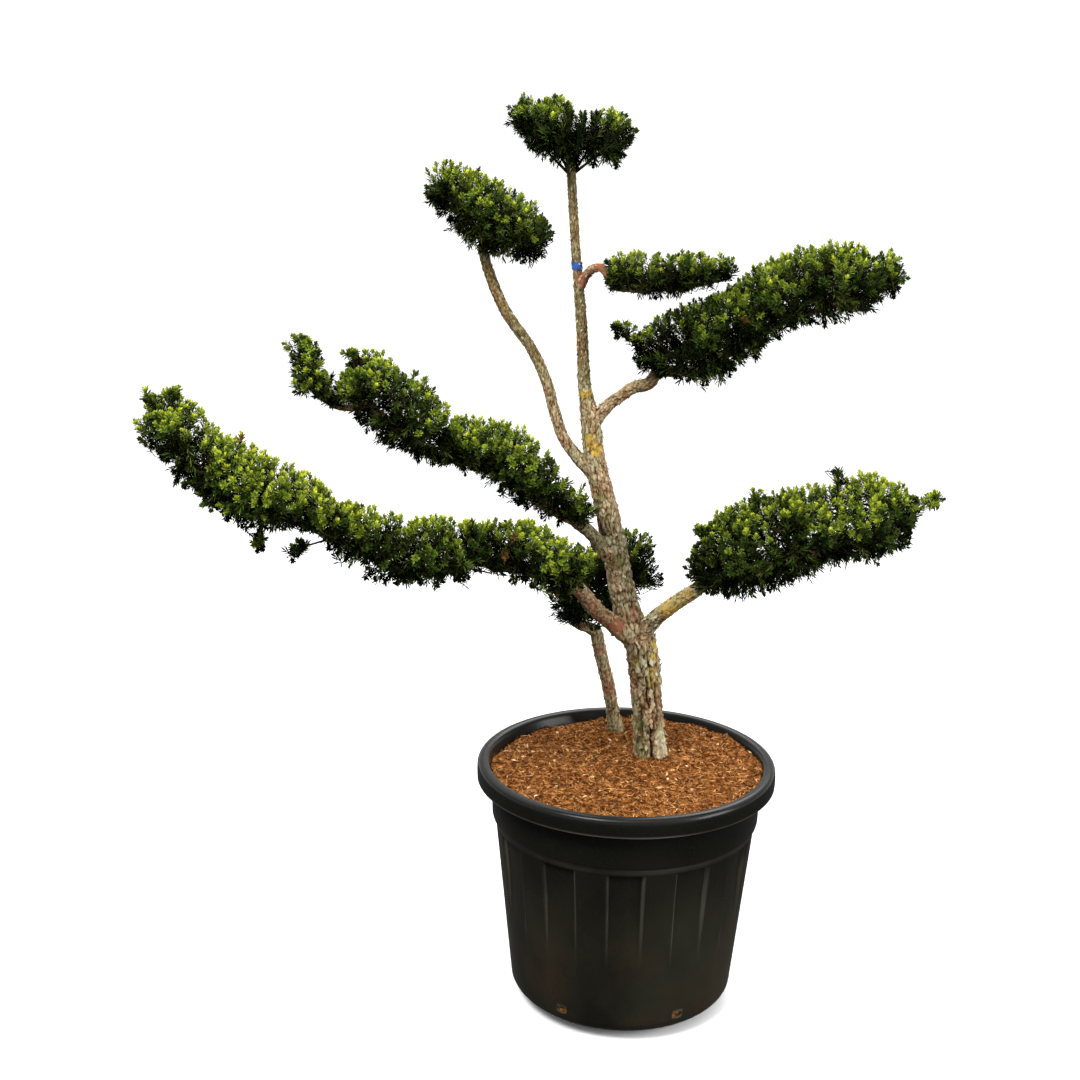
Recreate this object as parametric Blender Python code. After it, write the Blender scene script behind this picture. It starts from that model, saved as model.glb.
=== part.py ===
"""A cloud-pruned dwarf yew bonsai in its fluted nursery pot.

Every sub-part is one closed solid in metres, +Z up, +X to the right and +Y to the back.
The origin is the middle of the pot's flat underside. Limbs are tapered tubes along smooth
paths. Each pad of foliage is a space of overlapping lobes, filled by a core, a stem, twigs
that branch off the stem by a seeded rule, and sprays of needles at the ends of the twigs.
"""
import math
import random
from collections import namedtuple

import bmesh
import bpy
import numpy as np
from mathutils import Matrix, Vector

# Clearance between solids that touch on the real plant, and the step for reading a curve finely
GAP = 0.0003
FINE_STEP = 0.005

# Nursery pot
FLUTES = 12
FLUTE_TURN = math.radians(-92)        # the middle of a recess, just left of the front
RECESS_HALF = math.radians(6.9)       # half the width of a recess at its floor
RECESS_SIDE = math.radians(1.2)       # the width of each of its sloping sides
RECESS_DEPTH = 0.008
RECESS_LOW = 0.15                     # a recess fades out at this height
RECESS_TOP = 0.349                    # and ends in a step at this one
POT_WALL = 0.0045
CORNER_TALL = 0.042                   # height of the rounding between base and side
CORNER_WIDE = 0.095                   # and how far it reaches inwards
CORNER_TURNS = [math.radians(turn) for turn in (0, 32, 62, 90)]
POT_FOOT_RADIUS = 0.2065              # the side's radius, carried down to the floor
POT_TAPER = 0.104                     # growth of the side's radius with height
LEDGE_RISE = 0.004                    # from the top of the recesses to the plain side above
SHOULDER = 0.3615                     # height where the side gives way to the shoulder
INNER_SHIFT = 0.002                   # the shoulder's foot and head move this far inside the wall
COLLAR_LOW = (0.250, 0.370)           # radius and height
COLLAR_HIGH = (0.2515, 0.4355)
LIP = [(0.2775, 0.439), (0.2785, 0.4495), (0.276, 0.464), (0.267, 0.4735), (0.2575, 0.4705)]
DRAIN_HOLES = 6
DRAIN_TURN = math.radians(-93)        # midway between the two front holes
DRAIN_HEIGHT = 0.050
DRAIN_WIDE = 0.011                    # half the width of a drain hole
DRAIN_TALL = 0.0075                   # half its height
DRAIN_SIDES = 8
DRAIN_CUT = 6 * POT_WALL              # length of the plug that cuts it

# Potting mix
SOIL_LEVEL = 0.461
SOIL_SLUMP = 0.012                    # how far it has sunk at the back left
SOIL_FLAT = 0.075                     # it is flat this far round the foot of each stem
SOIL_UNEVEN = 0.004
SOIL_WAVES = (31.0, 27.0)             # radians of unevenness per metre, along X and Y
SOIL_RINGS = (1.0, 0.8, 0.45)
FOOT_LEVEL = SOIL_LEVEL + GAP

# Limbs: x, y, z and radius, from the root outwards
TRUNK = [
    (0.049, 0.058, FOOT_LEVEL, 0.0315),
    (0.047, 0.056, 0.481, 0.0296),
    (0.041, 0.050, 0.557, 0.0290),
    (0.027, 0.036, 0.668, 0.0300),
    (0.011, 0.031, 0.717, 0.0288),
    (-0.008, 0.026, 0.767, 0.0245),
    (-0.039, 0.015, 0.912, 0.0220),
    (-0.055, 0.015, 0.977, 0.0204),
    (-0.071, 0.020, 1.041, 0.0190),
    (-0.080, 0.020, 1.111, 0.0173),
    (-0.092, 0.025, 1.176, 0.0118),
    (-0.100, 0.032, 1.291, 0.0098),
    (-0.112, 0.035, 1.411, 0.0083),
    (-0.123, 0.035, 1.549, 0.0080),
]
LIMBS = {
    "bough_lower_left": [
        (0.001, 0.021, 0.707, 0.0200),
        (-0.046, -0.020, 0.755, 0.0148),
        (-0.071, -0.050, 0.786, 0.0140),
        (-0.095, -0.076, 0.823, 0.0132),
    ],
    "bough_lower_right": [
        (0.019, 0.029, 0.705, 0.0185),
        (0.049, 0.001, 0.751, 0.0156),
        (0.080, -0.019, 0.784, 0.0146),
        (0.111, -0.037, 0.812, 0.0140),
    ],
    "bough_middle_left": [
        (-0.014, 0.017, 0.802, 0.0145),
        (-0.029, 0.007, 0.845, 0.0140),
        (-0.046, 0.001, 0.870, 0.0134),
        (-0.060, -0.003, 0.890, 0.0128),
        (-0.077, -0.009, 0.911, 0.0120),
        (-0.101, -0.016, 0.931, 0.0112),
    ],
    "bough_upper_left": [
        (-0.069, 0.017, 1.013, 0.0150),
        (-0.099, 0.022, 1.041, 0.0124),
        (-0.127, 0.030, 1.076, 0.0106),
        (-0.145, 0.035, 1.125, 0.0104),
        (-0.161, 0.040, 1.180, 0.0101),
        (-0.188, 0.050, 1.235, 0.0098),
        (-0.231, 0.055, 1.294, 0.0100),
        (-0.258, 0.065, 1.349, 0.0100),
        (-0.275, 0.069, 1.404, 0.0092),
    ],
    "bough_upper_right": [
        (-0.078, 0.020, 1.106, 0.0150),
        (-0.055, 0.020, 1.133, 0.0120),
        (-0.035, 0.020, 1.150, 0.0110),
        (-0.005, 0.021, 1.171, 0.0111),
        (0.021, 0.013, 1.180, 0.0115),
    ],
    "bough_small_right": [
        (-0.103, 0.032, 1.344, 0.0080),
        (-0.095, 0.029, 1.365, 0.0080),
        (-0.082, 0.020, 1.379, 0.0078),
        (-0.064, 0.010, 1.380, 0.0075),
    ],
    "second_stem": [
        (-0.012, 0.190, FOOT_LEVEL, 0.0158),
        (-0.018, 0.184, 0.497, 0.0134),
        (-0.025, 0.179, 0.538, 0.0130),
        (-0.036, 0.175, 0.584, 0.0131),
        (-0.048, 0.173, 0.631, 0.0129),
        (-0.058, 0.172, 0.667, 0.0126),
    ],
}
BRANCHED = [name for name in LIMBS if name.startswith("bough")]
TRUNK_SIDES = 10
LIMB_SIDES = 8
RING_STEP = 0.036
LIMB_SMOOTH = 60                      # degrees: flatter edges than this are shaded smooth
POT_SMOOTH = 35

# Tie round the leader
TIE_HEIGHT = 1.383
TIE_TALL = 0.016
TIE_THICK = 0.0018
TIE_SIDES = 12

# Pads of foliage. path runs through the middle of the pad, outwards from the limb it grows on,
# depth and height are half-sizes at its thickest, ends are their shares at the two ends, and
# spurs are tufts that stand out of it: x, y, z and radius.
Pad = namedtuple("Pad", "limb path depth height ends spurs")
PADS = {
    "foliage_top": Pad(
        "trunk", [(-0.061, 0.035, 1.601), (-0.132, 0.035, 1.608), (-0.206, 0.035, 1.634)],
        0.120, 0.058, (0.85, 0.66), []),
    "foliage_upper_left": Pad(
        "bough_upper_left", [(-0.199, 0.070, 1.430), (-0.271, 0.070, 1.467), (-0.341, 0.069, 1.515)],
        0.110, 0.065, (0.80, 0.71), []),
    "foliage_small_right": Pad(
        "bough_small_right", [(-0.036, 0.001, 1.371), (0.052, -0.009, 1.377), (0.144, -0.009, 1.383)],
        0.075, 0.042, (0.86, 0.64), []),
    "foliage_upper_right_inner": Pad(
        "bough_upper_right", [(0.043, 0.001, 1.234), (0.108, -0.009, 1.257), (0.174, -0.014, 1.297)],
        0.120, 0.075, (0.66, 0.95), [(-0.038, -0.020, 1.286, 0.016), (-0.003, -0.019, 1.260, 0.020)]),
    "foliage_upper_right_outer": Pad(
        "foliage_upper_right_inner",
        [(0.226, -0.019, 1.331), (0.307, -0.028, 1.363), (0.415, -0.028, 1.382)],
        0.135, 0.071, (1.0, 0.62), []),
    "foliage_lower_right_inner": Pad(
        "bough_lower_right", [(0.137, -0.049, 0.864), (0.205, -0.059, 0.900), (0.278, -0.068, 0.930)],
        0.135, 0.081, (0.58, 1.0), [(0.116, -0.054, 0.929, 0.016), (0.209, -0.069, 0.995, 0.018)]),
    "foliage_lower_right_outer": Pad(
        "foliage_lower_right_inner",
        [(0.335, -0.078, 0.951), (0.407, -0.088, 0.966), (0.478, -0.098, 0.993)],
        0.130, 0.073, (1.0, 0.36), [(0.348, -0.078, 1.043, 0.018), (0.518, -0.097, 1.006, 0.018)]),
    "foliage_middle_left_inner": Pad(
        "bough_middle_left",
        [(-0.102, -0.035, 0.960), (-0.163, -0.040, 1.001), (-0.239, -0.045, 1.063),
         (-0.315, -0.051, 1.083)],
        0.085, 0.057, (0.62, 0.92), []),
    "foliage_middle_left_outer": Pad(
        "foliage_middle_left_inner",
        [(-0.365, -0.061, 1.101), (-0.416, -0.071, 1.147), (-0.465, -0.081, 1.186)],
        0.090, 0.070, (0.84, 0.86), [(-0.493, -0.081, 1.239, 0.018)]),
    "foliage_middle_left_tip": Pad(
        "foliage_middle_left_outer",
        [(-0.525, -0.091, 1.171), (-0.560, -0.101, 1.204), (-0.570, -0.101, 1.262)],
        0.045, 0.034, (0.90, 0.80), []),
    "foliage_lower_left_inner": Pad(
        "bough_lower_left", [(-0.117, -0.110, 0.874), (-0.197, -0.140, 0.913), (-0.269, -0.160, 0.926)],
        0.090, 0.055, (0.80, 0.84), []),
    "foliage_lower_left_mid": Pad(
        "foliage_lower_left_inner",
        [(-0.327, -0.191, 0.924), (-0.408, -0.221, 0.933), (-0.475, -0.248, 0.976)],
        0.090, 0.056, (1.0, 0.84), [(-0.567, -0.281, 0.946, 0.018)]),
    "foliage_lower_left_outer": Pad(
        "foliage_lower_left_mid",
        [(-0.548, -0.271, 1.016), (-0.632, -0.302, 1.054), (-0.705, -0.322, 1.110),
         (-0.753, -0.332, 1.162)],
        0.110, 0.064, (0.78, 0.72),
        [(-0.781, -0.332, 1.202, 0.018), (-0.743, -0.332, 1.206, 0.018), (-0.623, -0.302, 0.960, 0.018)]),
    "foliage_back": Pad(
        "second_stem", [(-0.098, 0.170, 0.722), (-0.050, 0.171, 0.770), (0.010, 0.173, 0.799)],
        0.085, 0.086, (0.62, 0.84), []),
}
SPUR_STEPS = (0.4, 0.6, 0.8, 1.0)     # places of the small lobes between a spur and its pad
LOBE_LENGTH = 0.85        # length of a lobe as a share of its height
LOBE_SPACING = 0.95       # distance between lobes as a share of the pad's height
LOBE_FALL = 1.6           # how late the lobes thin out towards a pad's ends: 1 is evenly
NEIGHBOUR = 0.30          # pads further away than this never meet
CORE_SHARE = 0.70         # size of the core as a share of its lobe
CORE_LEAST = 0.20
CORE_STEP = 0.03
CORE_PROBES = 200         # places on its surface that must keep to the pad's space
CORE_SIDES = 8
CORE_TIP = 0.62           # size of the core's end faces as a share of the section before them
CORE_REACH = 0.8          # how far beyond the last lobe's middle they lie, as a share of its length
STEM_DROP = 0.35          # the stem runs this share of the height below a pad's middle
STEM_START = 0.012        # length of its straight start, in line with the limb it grows on
STEM_END = 0.0035         # radius of a stem at its tip
STEM_TAPER = 0.4          # share of the way to that radius where it meets the next stem
STEM_SIDES = 6
TWIG_RADIUS = 0.0026
TWIG_TAPER = 0.7
TWIG_SIDES = 3
TWIG_BACK = 0.02          # a twig leaves the stem this far before the place nearest its spray

# Sprays of needles
TEETH = 3
TOOTH_BACK = 0.12         # the teeth end this share of its length short of a spray's tip
NOTCH = 0.30              # depth of a notch, as a share of the way to the root
SPRAY_SPACING = 0.055
SPRAY_RADIUS = (0.027, 0.034)
SPRAY_LENGTH = (0.055, 0.070)
SPRAY_LIFT = 0.45         # how far a spray turns up from straight outwards
SPRAY_WANDER = 0.18
SPRAY_TRIES = (1.0, 1.0, 0.86, 0.86, 0.72, 0.72, 0.6, 0.6)    # share of its size at each try
SPRAY_SUNK = 0.25         # a twig ends this share of a spray's length inside it
PROBES = (8, 12)          # places along a spray and along a twig that must keep to the space
UNDERSIDE = -0.55         # a place whose normal points down more than this is on the underside
BARE_BELOW = 0.45         # share of the sprays left off there
PLACES_TRIED = 260        # misses in a row before a pad counts as full
CLEARANCE = 0.004         # of foliage from limbs and from the next pad
OVERREACH = 0.008         # how far a tooth may stand out of its pad's space
BURIED = 0.002            # a place deeper than this inside another lobe isn't on the surface
FLAT_ANGLE = math.radians(0.5)        # faces closer to one plane than this become one


def clear_scene():
    for obj in list(bpy.data.objects):
        bpy.data.objects.remove(obj, do_unlink=True)


def material(name, colour, roughness, metallic=0.0):
    made = bpy.data.materials.new(name)
    made.use_nodes = True
    shader = made.node_tree.nodes["Principled BSDF"]
    shader.inputs["Base Color"].default_value = (*colour, 1.0)
    shader.inputs["Roughness"].default_value = roughness
    shader.inputs["Metallic"].default_value = metallic
    return made


def add_object(name, shape, finish=None, collection=None):
    """Make an object of a bmesh, with its faces turned outwards."""
    bmesh.ops.recalc_face_normals(shape, faces=shape.faces)
    mesh = bpy.data.meshes.new(name)
    shape.to_mesh(mesh)
    shape.free()
    if finish:
        mesh.materials.append(finish)
    obj = bpy.data.objects.new(name, mesh)
    (collection or bpy.context.scene.collection).objects.link(obj)
    return obj


def hide_cutter(obj):
    obj.hide_render = True
    obj.display_type = "WIRE"


def bridge(shape, rings):
    """Skin a row of rings that all have as many points, and close both ends.

    Each four-sided patch is split from its lower ring's corner, so that the skins of two
    solids that lie inside each other run side by side.
    """
    rows = [[shape.verts.new(point) for point in ring] for ring in rings]
    count = len(rows[0])
    for first, second in zip(rows, rows[1:]):
        rises = sum(vert.co.z for vert in second) >= sum(vert.co.z for vert in first)
        for k in range(count):
            after = (k + 1) % count
            corners = (first[k], first[after], second[after], second[k])
            split = (0, 2) if rises else (3, 1)
            for j in (1, 3) if rises else (0, 2):
                shape.faces.new((corners[split[0]], corners[j], corners[split[1]]))
    shape.faces.new(rows[0][::-1])
    shape.faces.new(rows[-1])


def smooth_path(rows, step):
    """Points about one step apart on a Catmull-Rom curve through rows of numbers."""
    rows = [np.array(row, float) for row in rows]
    rows = [2 * rows[0] - rows[1]] + rows + [2 * rows[-1] - rows[-2]]
    path = [rows[1]]
    for a, b, c, d in zip(rows, rows[1:], rows[2:], rows[3:]):
        pieces = max(1, round(float(np.linalg.norm((c - b)[:3])) / step))
        for k in range(1, pieces + 1):
            t = k / pieces
            path.append(0.5 * (2 * b + (c - a) * t + (2 * a - 5 * b + 4 * c - d) * t ** 2
                               + (3 * b - a - 3 * c + d) * t ** 3))
    return path


def tube(shape, path, sides, grow=0.0, stands=False):
    """A tapered tube along rows of x, y, z and radius, with a ring square to the path at each.

    Where it stands on something, its first ring is level.
    """
    points = [Vector(row[:3]) for row in path]
    side = Vector((1.0, 0.0, 0.0))
    turns = [2 * math.pi * k / sides for k in range(sides)]
    rings = []
    for k, centre in enumerate(points):
        along = (points[min(k + 1, len(points) - 1)] - points[max(k - 1, 0)]).normalized()
        if k == 0 and stands:
            along = Vector((0.0, 0.0, 1.0))
        side = (side - along * side.dot(along)).normalized()
        other = along.cross(side)
        radius = path[k][3] + grow
        rings.append([centre + (side * math.cos(a) + other * math.sin(a)) * radius for a in turns])
    bridge(shape, rings)


def limb(name, rows, sides, finish=None, grow=0.0):
    shape = bmesh.new()
    tube(shape, smooth_path(rows, RING_STEP), sides, grow, stands=rows[0][2] == FOOT_LEVEL)
    return add_object(name, shape, finish)


def flute_angles():
    """Four corners for each recess: foot and head of both its sloping sides."""
    corners = (-RECESS_HALF - RECESS_SIDE, -RECESS_HALF, RECESS_HALF, RECESS_HALF + RECESS_SIDE)
    angles = []
    for k in range(FLUTES):
        middle = FLUTE_TURN + 2 * math.pi * k / FLUTES
        angles += [(middle + corner, abs(corner) < RECESS_HALF + RECESS_SIDE / 2) for corner in corners]
    return angles


def pot_ring(radius, height, recess=0.0):
    ring = []
    for angle, is_floor in flute_angles():
        r = radius - (recess if is_floor else 0.0)
        ring.append((r * math.cos(angle), r * math.sin(angle), height))
    return ring


def side_radius(height):
    return POT_FOOT_RADIUS + POT_TAPER * height


def recess_at(height):
    share = (height - RECESS_LOW) / (RECESS_TOP - RECESS_LOW)
    return RECESS_DEPTH * min(1.0, max(0.0, share))


def corner_rings(inset):
    """The rounding from the flat base to the side, moved inwards by inset."""
    middle = side_radius(CORNER_TALL) - CORNER_WIDE
    wide, tall = CORNER_WIDE - inset, CORNER_TALL - inset
    return [pot_ring(middle + wide * math.sin(turn), CORNER_TALL - tall * math.cos(turn))
            for turn in CORNER_TURNS]


def side_rings(inset, top):
    """The fluted side above the rounding, moved inwards by inset."""
    return [pot_ring(side_radius(z) - inset, z, recess_at(z)) for z in (RECESS_LOW, top)]


def inner_rings(inset):
    """The inner face from the floor to the collar, moved inwards by inset."""
    rings = corner_rings(inset) + side_rings(inset, RECESS_TOP - INNER_SHIFT)
    rings.append(pot_ring(COLLAR_LOW[0] - inset, COLLAR_LOW[1] + INNER_SHIFT))
    return rings


def make_pot(finish):
    """Up the outer face, over the lip and down the inner one."""
    rings = corner_rings(0.0) + side_rings(0.0, RECESS_TOP)
    rings += [pot_ring(side_radius(height), height) for height in (RECESS_TOP + LEDGE_RISE, SHOULDER)]
    rings += [pot_ring(radius, height) for radius, height in (COLLAR_LOW, COLLAR_HIGH, *LIP)]
    rings.append(pot_ring(COLLAR_HIGH[0] - POT_WALL, COLLAR_HIGH[1]))
    rings += inner_rings(POT_WALL)[::-1]
    shape = bmesh.new()
    bridge(shape, rings)
    pot = add_object("pot", shape, finish)
    cut = pot.modifiers.new("drain_holes", "BOOLEAN")
    cut.object = make_drain_cutter()
    cut.operation = "DIFFERENCE"
    return pot


def make_drain_cutter():
    """Short radial plugs where the holes pierce the side, just above the rounding."""
    shape = bmesh.new()
    reach = side_radius(DRAIN_HEIGHT)
    for k in range(DRAIN_HOLES):
        turn = DRAIN_TURN + math.pi * (2 * k + 1) / DRAIN_HOLES
        place = Matrix.Rotation(turn, 4, "Z") @ Matrix.Translation((reach, 0.0, DRAIN_HEIGHT))
        place = place @ Matrix.Rotation(math.pi / 2, 4, "Y")
        place = place @ Matrix.Diagonal((DRAIN_TALL, DRAIN_WIDE, 1.0, 1.0))
        bmesh.ops.create_cone(
            shape, cap_ends=True, segments=DRAIN_SIDES, radius1=1.0, radius2=1.0, depth=DRAIN_CUT,
            matrix=place)
    cutter = add_object("drain_cutter", shape)
    hide_cutter(cutter)
    return cutter


def wall_radius(height):
    """Radius of the inner face between the collar's head and the lip."""
    low, high = (COLLAR_HIGH[0] - POT_WALL, COLLAR_HIGH[1]), LIP[-1]
    return low[0] + (high[0] - low[0]) * (height - low[1]) / (high[1] - low[1])


def soil_height(x, y):
    """Flat round the stems, sunk at the back left, and a little uneven elsewhere."""
    feet = (TRUNK[0], LIMBS["second_stem"][0])
    nearest = min(math.hypot(x - foot[0], y - foot[1]) for foot in feet)
    away = min(1.0, max(0.0, nearest / SOIL_FLAT - 1.0))
    back_left = max(0.0, (y - x) * math.sqrt(0.5) / COLLAR_LOW[0])
    uneven = SOIL_UNEVEN * math.sin(SOIL_WAVES[0] * x + 2) * math.sin(SOIL_WAVES[1] * y)
    return SOIL_LEVEL + away * (uneven - SOIL_SLUMP * back_left ** 3)


def soil_point(angle, share):
    """A point of the top of the potting mix, at a share of the way out to the wall."""
    reach = wall_radius(SOIL_LEVEL) * share
    height = soil_height(reach * math.cos(angle), reach * math.sin(angle))
    reach = (wall_radius(height) - GAP) * share
    return reach * math.cos(angle), reach * math.sin(angle), height


def make_soil(finish):
    """The potting mix that fills the pot, clear of its wall and floor by the gap."""
    inset = POT_WALL + GAP
    rings = inner_rings(inset)
    rings.append(pot_ring(COLLAR_HIGH[0] - inset, COLLAR_HIGH[1]))
    for share in SOIL_RINGS:
        rings.append([soil_point(angle, share) for angle, _ in flute_angles()])
    shape = bmesh.new()
    bridge(shape, rings)
    return add_object("root_ball", shape, finish)


def make_tie(finish, cutter):
    """A band wound round the leader, clear of its bark by the gap."""
    path = smooth_path(TRUNK, FINE_STEP / 2)
    band = [row for row in path if abs(row[2] - TIE_HEIGHT) < TIE_TALL / 2]
    shape = bmesh.new()
    tube(shape, [band[0], band[-1]], TIE_SIDES, grow=GAP + TIE_THICK)
    tie = add_object("tie_band", shape, finish)
    cut_clear(tie, cutter)


class Lobe:
    """An ellipsoid, one of those that make up a pad's space."""

    def __init__(self, centre, axes, sizes):
        self.centre = np.array(centre, float)
        self.axes = np.array(axes, float)
        self.sizes = np.array(sizes, float)

    def outside(self, points):
        """About how far points lie outside, in metres: negative inside."""
        local = (np.atleast_2d(points) - self.centre) @ self.axes.T
        return (np.linalg.norm(local / self.sizes, axis=1) - 1.0) * self.sizes.min()

    def surface(self, direction):
        """The point of the surface in a direction of the lobe's own, and the normal there."""
        point = self.centre + (direction * self.sizes) @ self.axes
        normal = (direction / self.sizes) @ self.axes
        return point, normal / np.linalg.norm(normal)


def outside(lobes, points):
    return np.min([lobe.outside(points) for lobe in lobes], axis=0)


def nearest_lobe(lobes, point):
    return min(lobes, key=lambda lobe: np.linalg.norm(lobe.centre - np.array(point)))


def body_lobes(pad):
    """Lobes along a pad's path, thickest in the middle."""
    path = [row[:3] for row in smooth_path([(*point, 0.0) for point in pad.path], FINE_STEP)]
    length = np.linalg.norm(path[-1] - path[0])
    along = (path[-1] - path[0]) / length
    across = np.cross((0.0, 0.0, 1.0), along)
    across = across / np.linalg.norm(across)
    axes = (along, across, np.cross(along, across))
    count = 1 + math.ceil(length / (LOBE_SPACING * pad.height))
    lobes = []
    for t in np.linspace(0.0, 1.0, count):
        end = pad.ends[0] if t < 0.5 else pad.ends[1]
        share = 1.0 - (1.0 - end) * abs(2 * t - 1) ** LOBE_FALL
        sizes = np.array((LOBE_LENGTH * pad.height, pad.depth, pad.height)) * share
        lobes.append(Lobe(path[round(t * (len(path) - 1))], axes, sizes))
    return lobes


def spur_lobes(pad, body):
    """A row of small lobes out to each spur, the spur's own last."""
    rows = []
    for *end, radius in pad.spurs:
        start = nearest_lobe(body, end).centre
        centres = [start + t * (np.array(end) - start) for t in SPUR_STEPS]
        rows.append([Lobe(centre, np.eye(3), (radius, radius, radius)) for centre in centres])
    return rows


def limb_end(name, stems):
    """The last two rows of a limb, or of another pad's stem."""
    rows = TRUNK if name == "trunk" else LIMBS.get(name) or stems[name]
    return smooth_path(rows, RING_STEP)[-2:]


def stem_rows(name, stems):
    """The path of a pad's stem, from the limb that it grows on to the pad's far end.

    It starts at the place of the path that is nearest to the limb. Where the next pad's stem
    grows on from it, it ends midway between the two pads.
    """
    pad = PADS[name]
    before, start = limb_end(pad.limb, stems)
    heading = (start - before)[:3] / np.linalg.norm((start - before)[:3])
    root = start[:3] + heading * GAP
    drop = np.array((0.0, 0.0, STEM_DROP * pad.height))
    middles = [np.array(point) - drop for point in pad.path]
    nearest = min(range(len(middles)), key=lambda k: np.linalg.norm(middles[k] - root))
    points = [root, root + STEM_START * heading] + middles[nearest:]
    end_radius = STEM_END
    for follower in PADS.values():
        if follower.limb == name:
            points.append((np.array(pad.path[-1]) + np.array(follower.path[0])) / 2 - drop)
            end_radius = start[3] + STEM_TAPER * (STEM_END - start[3])
    radii = np.linspace(start[3], end_radius, len(points))
    return [(*point, radius) for point, radius in zip(points, radii)]


def beads(rows):
    """Balls close together along a limb: rows of centre and radius."""
    return smooth_path(rows, FINE_STEP)


class Space:
    """What a pad's foliage must keep to: its own lobes, clear of the next pads and of limbs."""

    def __init__(self, lobes, neighbours, limbs):
        self.lobes = lobes
        self.neighbours = neighbours
        self.limbs = np.array(limbs)

    def holds(self, points):
        own = outside(self.lobes, points)
        if own.max() > OVERREACH:
            return False
        if not self.neighbours:
            return True
        return bool((own + CLEARANCE / 2 < outside(self.neighbours, points)).all())

    def misses_limbs(self, points, radii):
        """Whether balls stay clear of every limb."""
        apart = np.linalg.norm(points[:, None, :] - self.limbs[None, :, :3], axis=2)
        return bool((apart - self.limbs[None, :, 3] - radii[:, None] > CLEARANCE).all())

    def has_room_for(self, lobe):
        """Whether a whole lobe keeps to the space."""
        local = (self.limbs[:, :3] - lobe.centre) @ lobe.axes.T
        swollen = lobe.sizes + CLEARANCE + self.limbs[:, 3:4]
        if (np.linalg.norm(local / swollen, axis=1) < 1.0).any():
            return False
        directions = np.random.default_rng(4).normal(size=(CORE_PROBES, 3))
        directions /= np.linalg.norm(directions, axis=1)[:, None]
        return self.holds(lobe.centre + (directions * lobe.sizes) @ lobe.axes)


def core_share(lobe, space):
    """The largest share of a lobe that the core can fill."""
    share = CORE_SHARE
    while share > CORE_LEAST and not space.has_room_for(Lobe(lobe.centre, lobe.axes, lobe.sizes * share)):
        share -= CORE_STEP
    return share


def add_core(body, space, collection):
    """One loft through the lobes, an ellipse across each, with a smaller one at both ends."""
    shares = [core_share(lobe, space) for lobe in body]
    reach = [CORE_REACH * lobe.sizes[0] * share for lobe, share in zip(body, shares)]
    sections = [(lobe, share, 0.0) for lobe, share in zip(body, shares)]
    sections.insert(0, (body[0], CORE_TIP * shares[0], -reach[0]))
    sections.append((body[-1], CORE_TIP * shares[-1], reach[-1]))
    turns = [2 * math.pi * k / CORE_SIDES for k in range(CORE_SIDES)]
    rings = []
    for lobe, share, along in sections:
        wide, tall = lobe.sizes[1:] * share
        ring = [np.array((along, wide * math.cos(a), tall * math.sin(a))) for a in turns]
        rings.append([Vector(lobe.centre + point @ lobe.axes) for point in ring])
    shape = bmesh.new()
    bridge(shape, rings)
    add_object("core", shape, collection=collection)


def spray_points(tip, axis, length, radius, turn):
    """Root, rim and tip of a spray: a three-sided wedge of needles that ends in three teeth.

    The rim goes round by tooth and notch. Each notch lies in the flat side between its teeth.
    """
    axis = Vector(axis)
    side = axis.orthogonal().normalized()
    other = axis.cross(side)
    root = Vector(tip) - axis * length
    middle = Vector(tip) - axis * (TOOTH_BACK * length)
    angles = [turn + 2 * math.pi * k / TEETH for k in range(TEETH)]
    teeth = [middle + (side * math.cos(a) + other * math.sin(a)) * radius for a in angles]
    rim = []
    for k, tooth in enumerate(teeth):
        notch = (tooth + teeth[(k + 1) % TEETH]) / 2
        rim += [tooth, notch + (root - notch) * NOTCH]
    return root, rim, Vector(tip)


def add_spray(root, rim, tip, collection):
    shape = bmesh.new()
    low = shape.verts.new(root)
    high = shape.verts.new(tip)
    ring = [shape.verts.new(point) for point in rim]
    for k, vert in enumerate(ring):
        after = ring[(k + 1) % len(ring)]
        shape.faces.new((low, after, vert))
        shape.faces.new((high, vert, after))
    add_object("spray", shape, collection=collection)


def add_twig(start, end, collection):
    shape = bmesh.new()
    tube(shape, [(*start, TWIG_RADIUS), (*end, TWIG_TAPER * TWIG_RADIUS)], TWIG_SIDES)
    add_object("twig", shape, collection=collection)


def spot_on(lobe, rng):
    """A place anywhere on a lobe, with its normal."""
    direction = np.array([rng.gauss(0, 1) for _ in range(3)])
    return lobe.surface(direction / np.linalg.norm(direction))


def spots(body, spurs, rng):
    """Places for the tips of sprays: the end of each spur first, then anywhere on the lobes."""
    for row in spurs:
        outward = row[-1].centre - nearest_lobe(body, row[-1].centre).centre
        yield row[-1].surface(outward / np.linalg.norm(outward))
    lobes = body + [lobe for row in spurs for lobe in row]
    weights = [float(lobe.sizes[0] * lobe.sizes[1]) for lobe in lobes]
    while True:
        yield spot_on(rng.choices(lobes, weights)[0], rng)


def is_wanted(tip, normal, tips, space, rng):
    """Whether a place is on the outside, away from other tips, and not left bare."""
    if outside(space.lobes, tip)[0] < -BURIED:
        return False
    if normal[2] < UNDERSIDE and rng.random() < BARE_BELOW:
        return False
    return all(np.linalg.norm(other - tip) > SPRAY_SPACING for other in tips)


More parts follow.
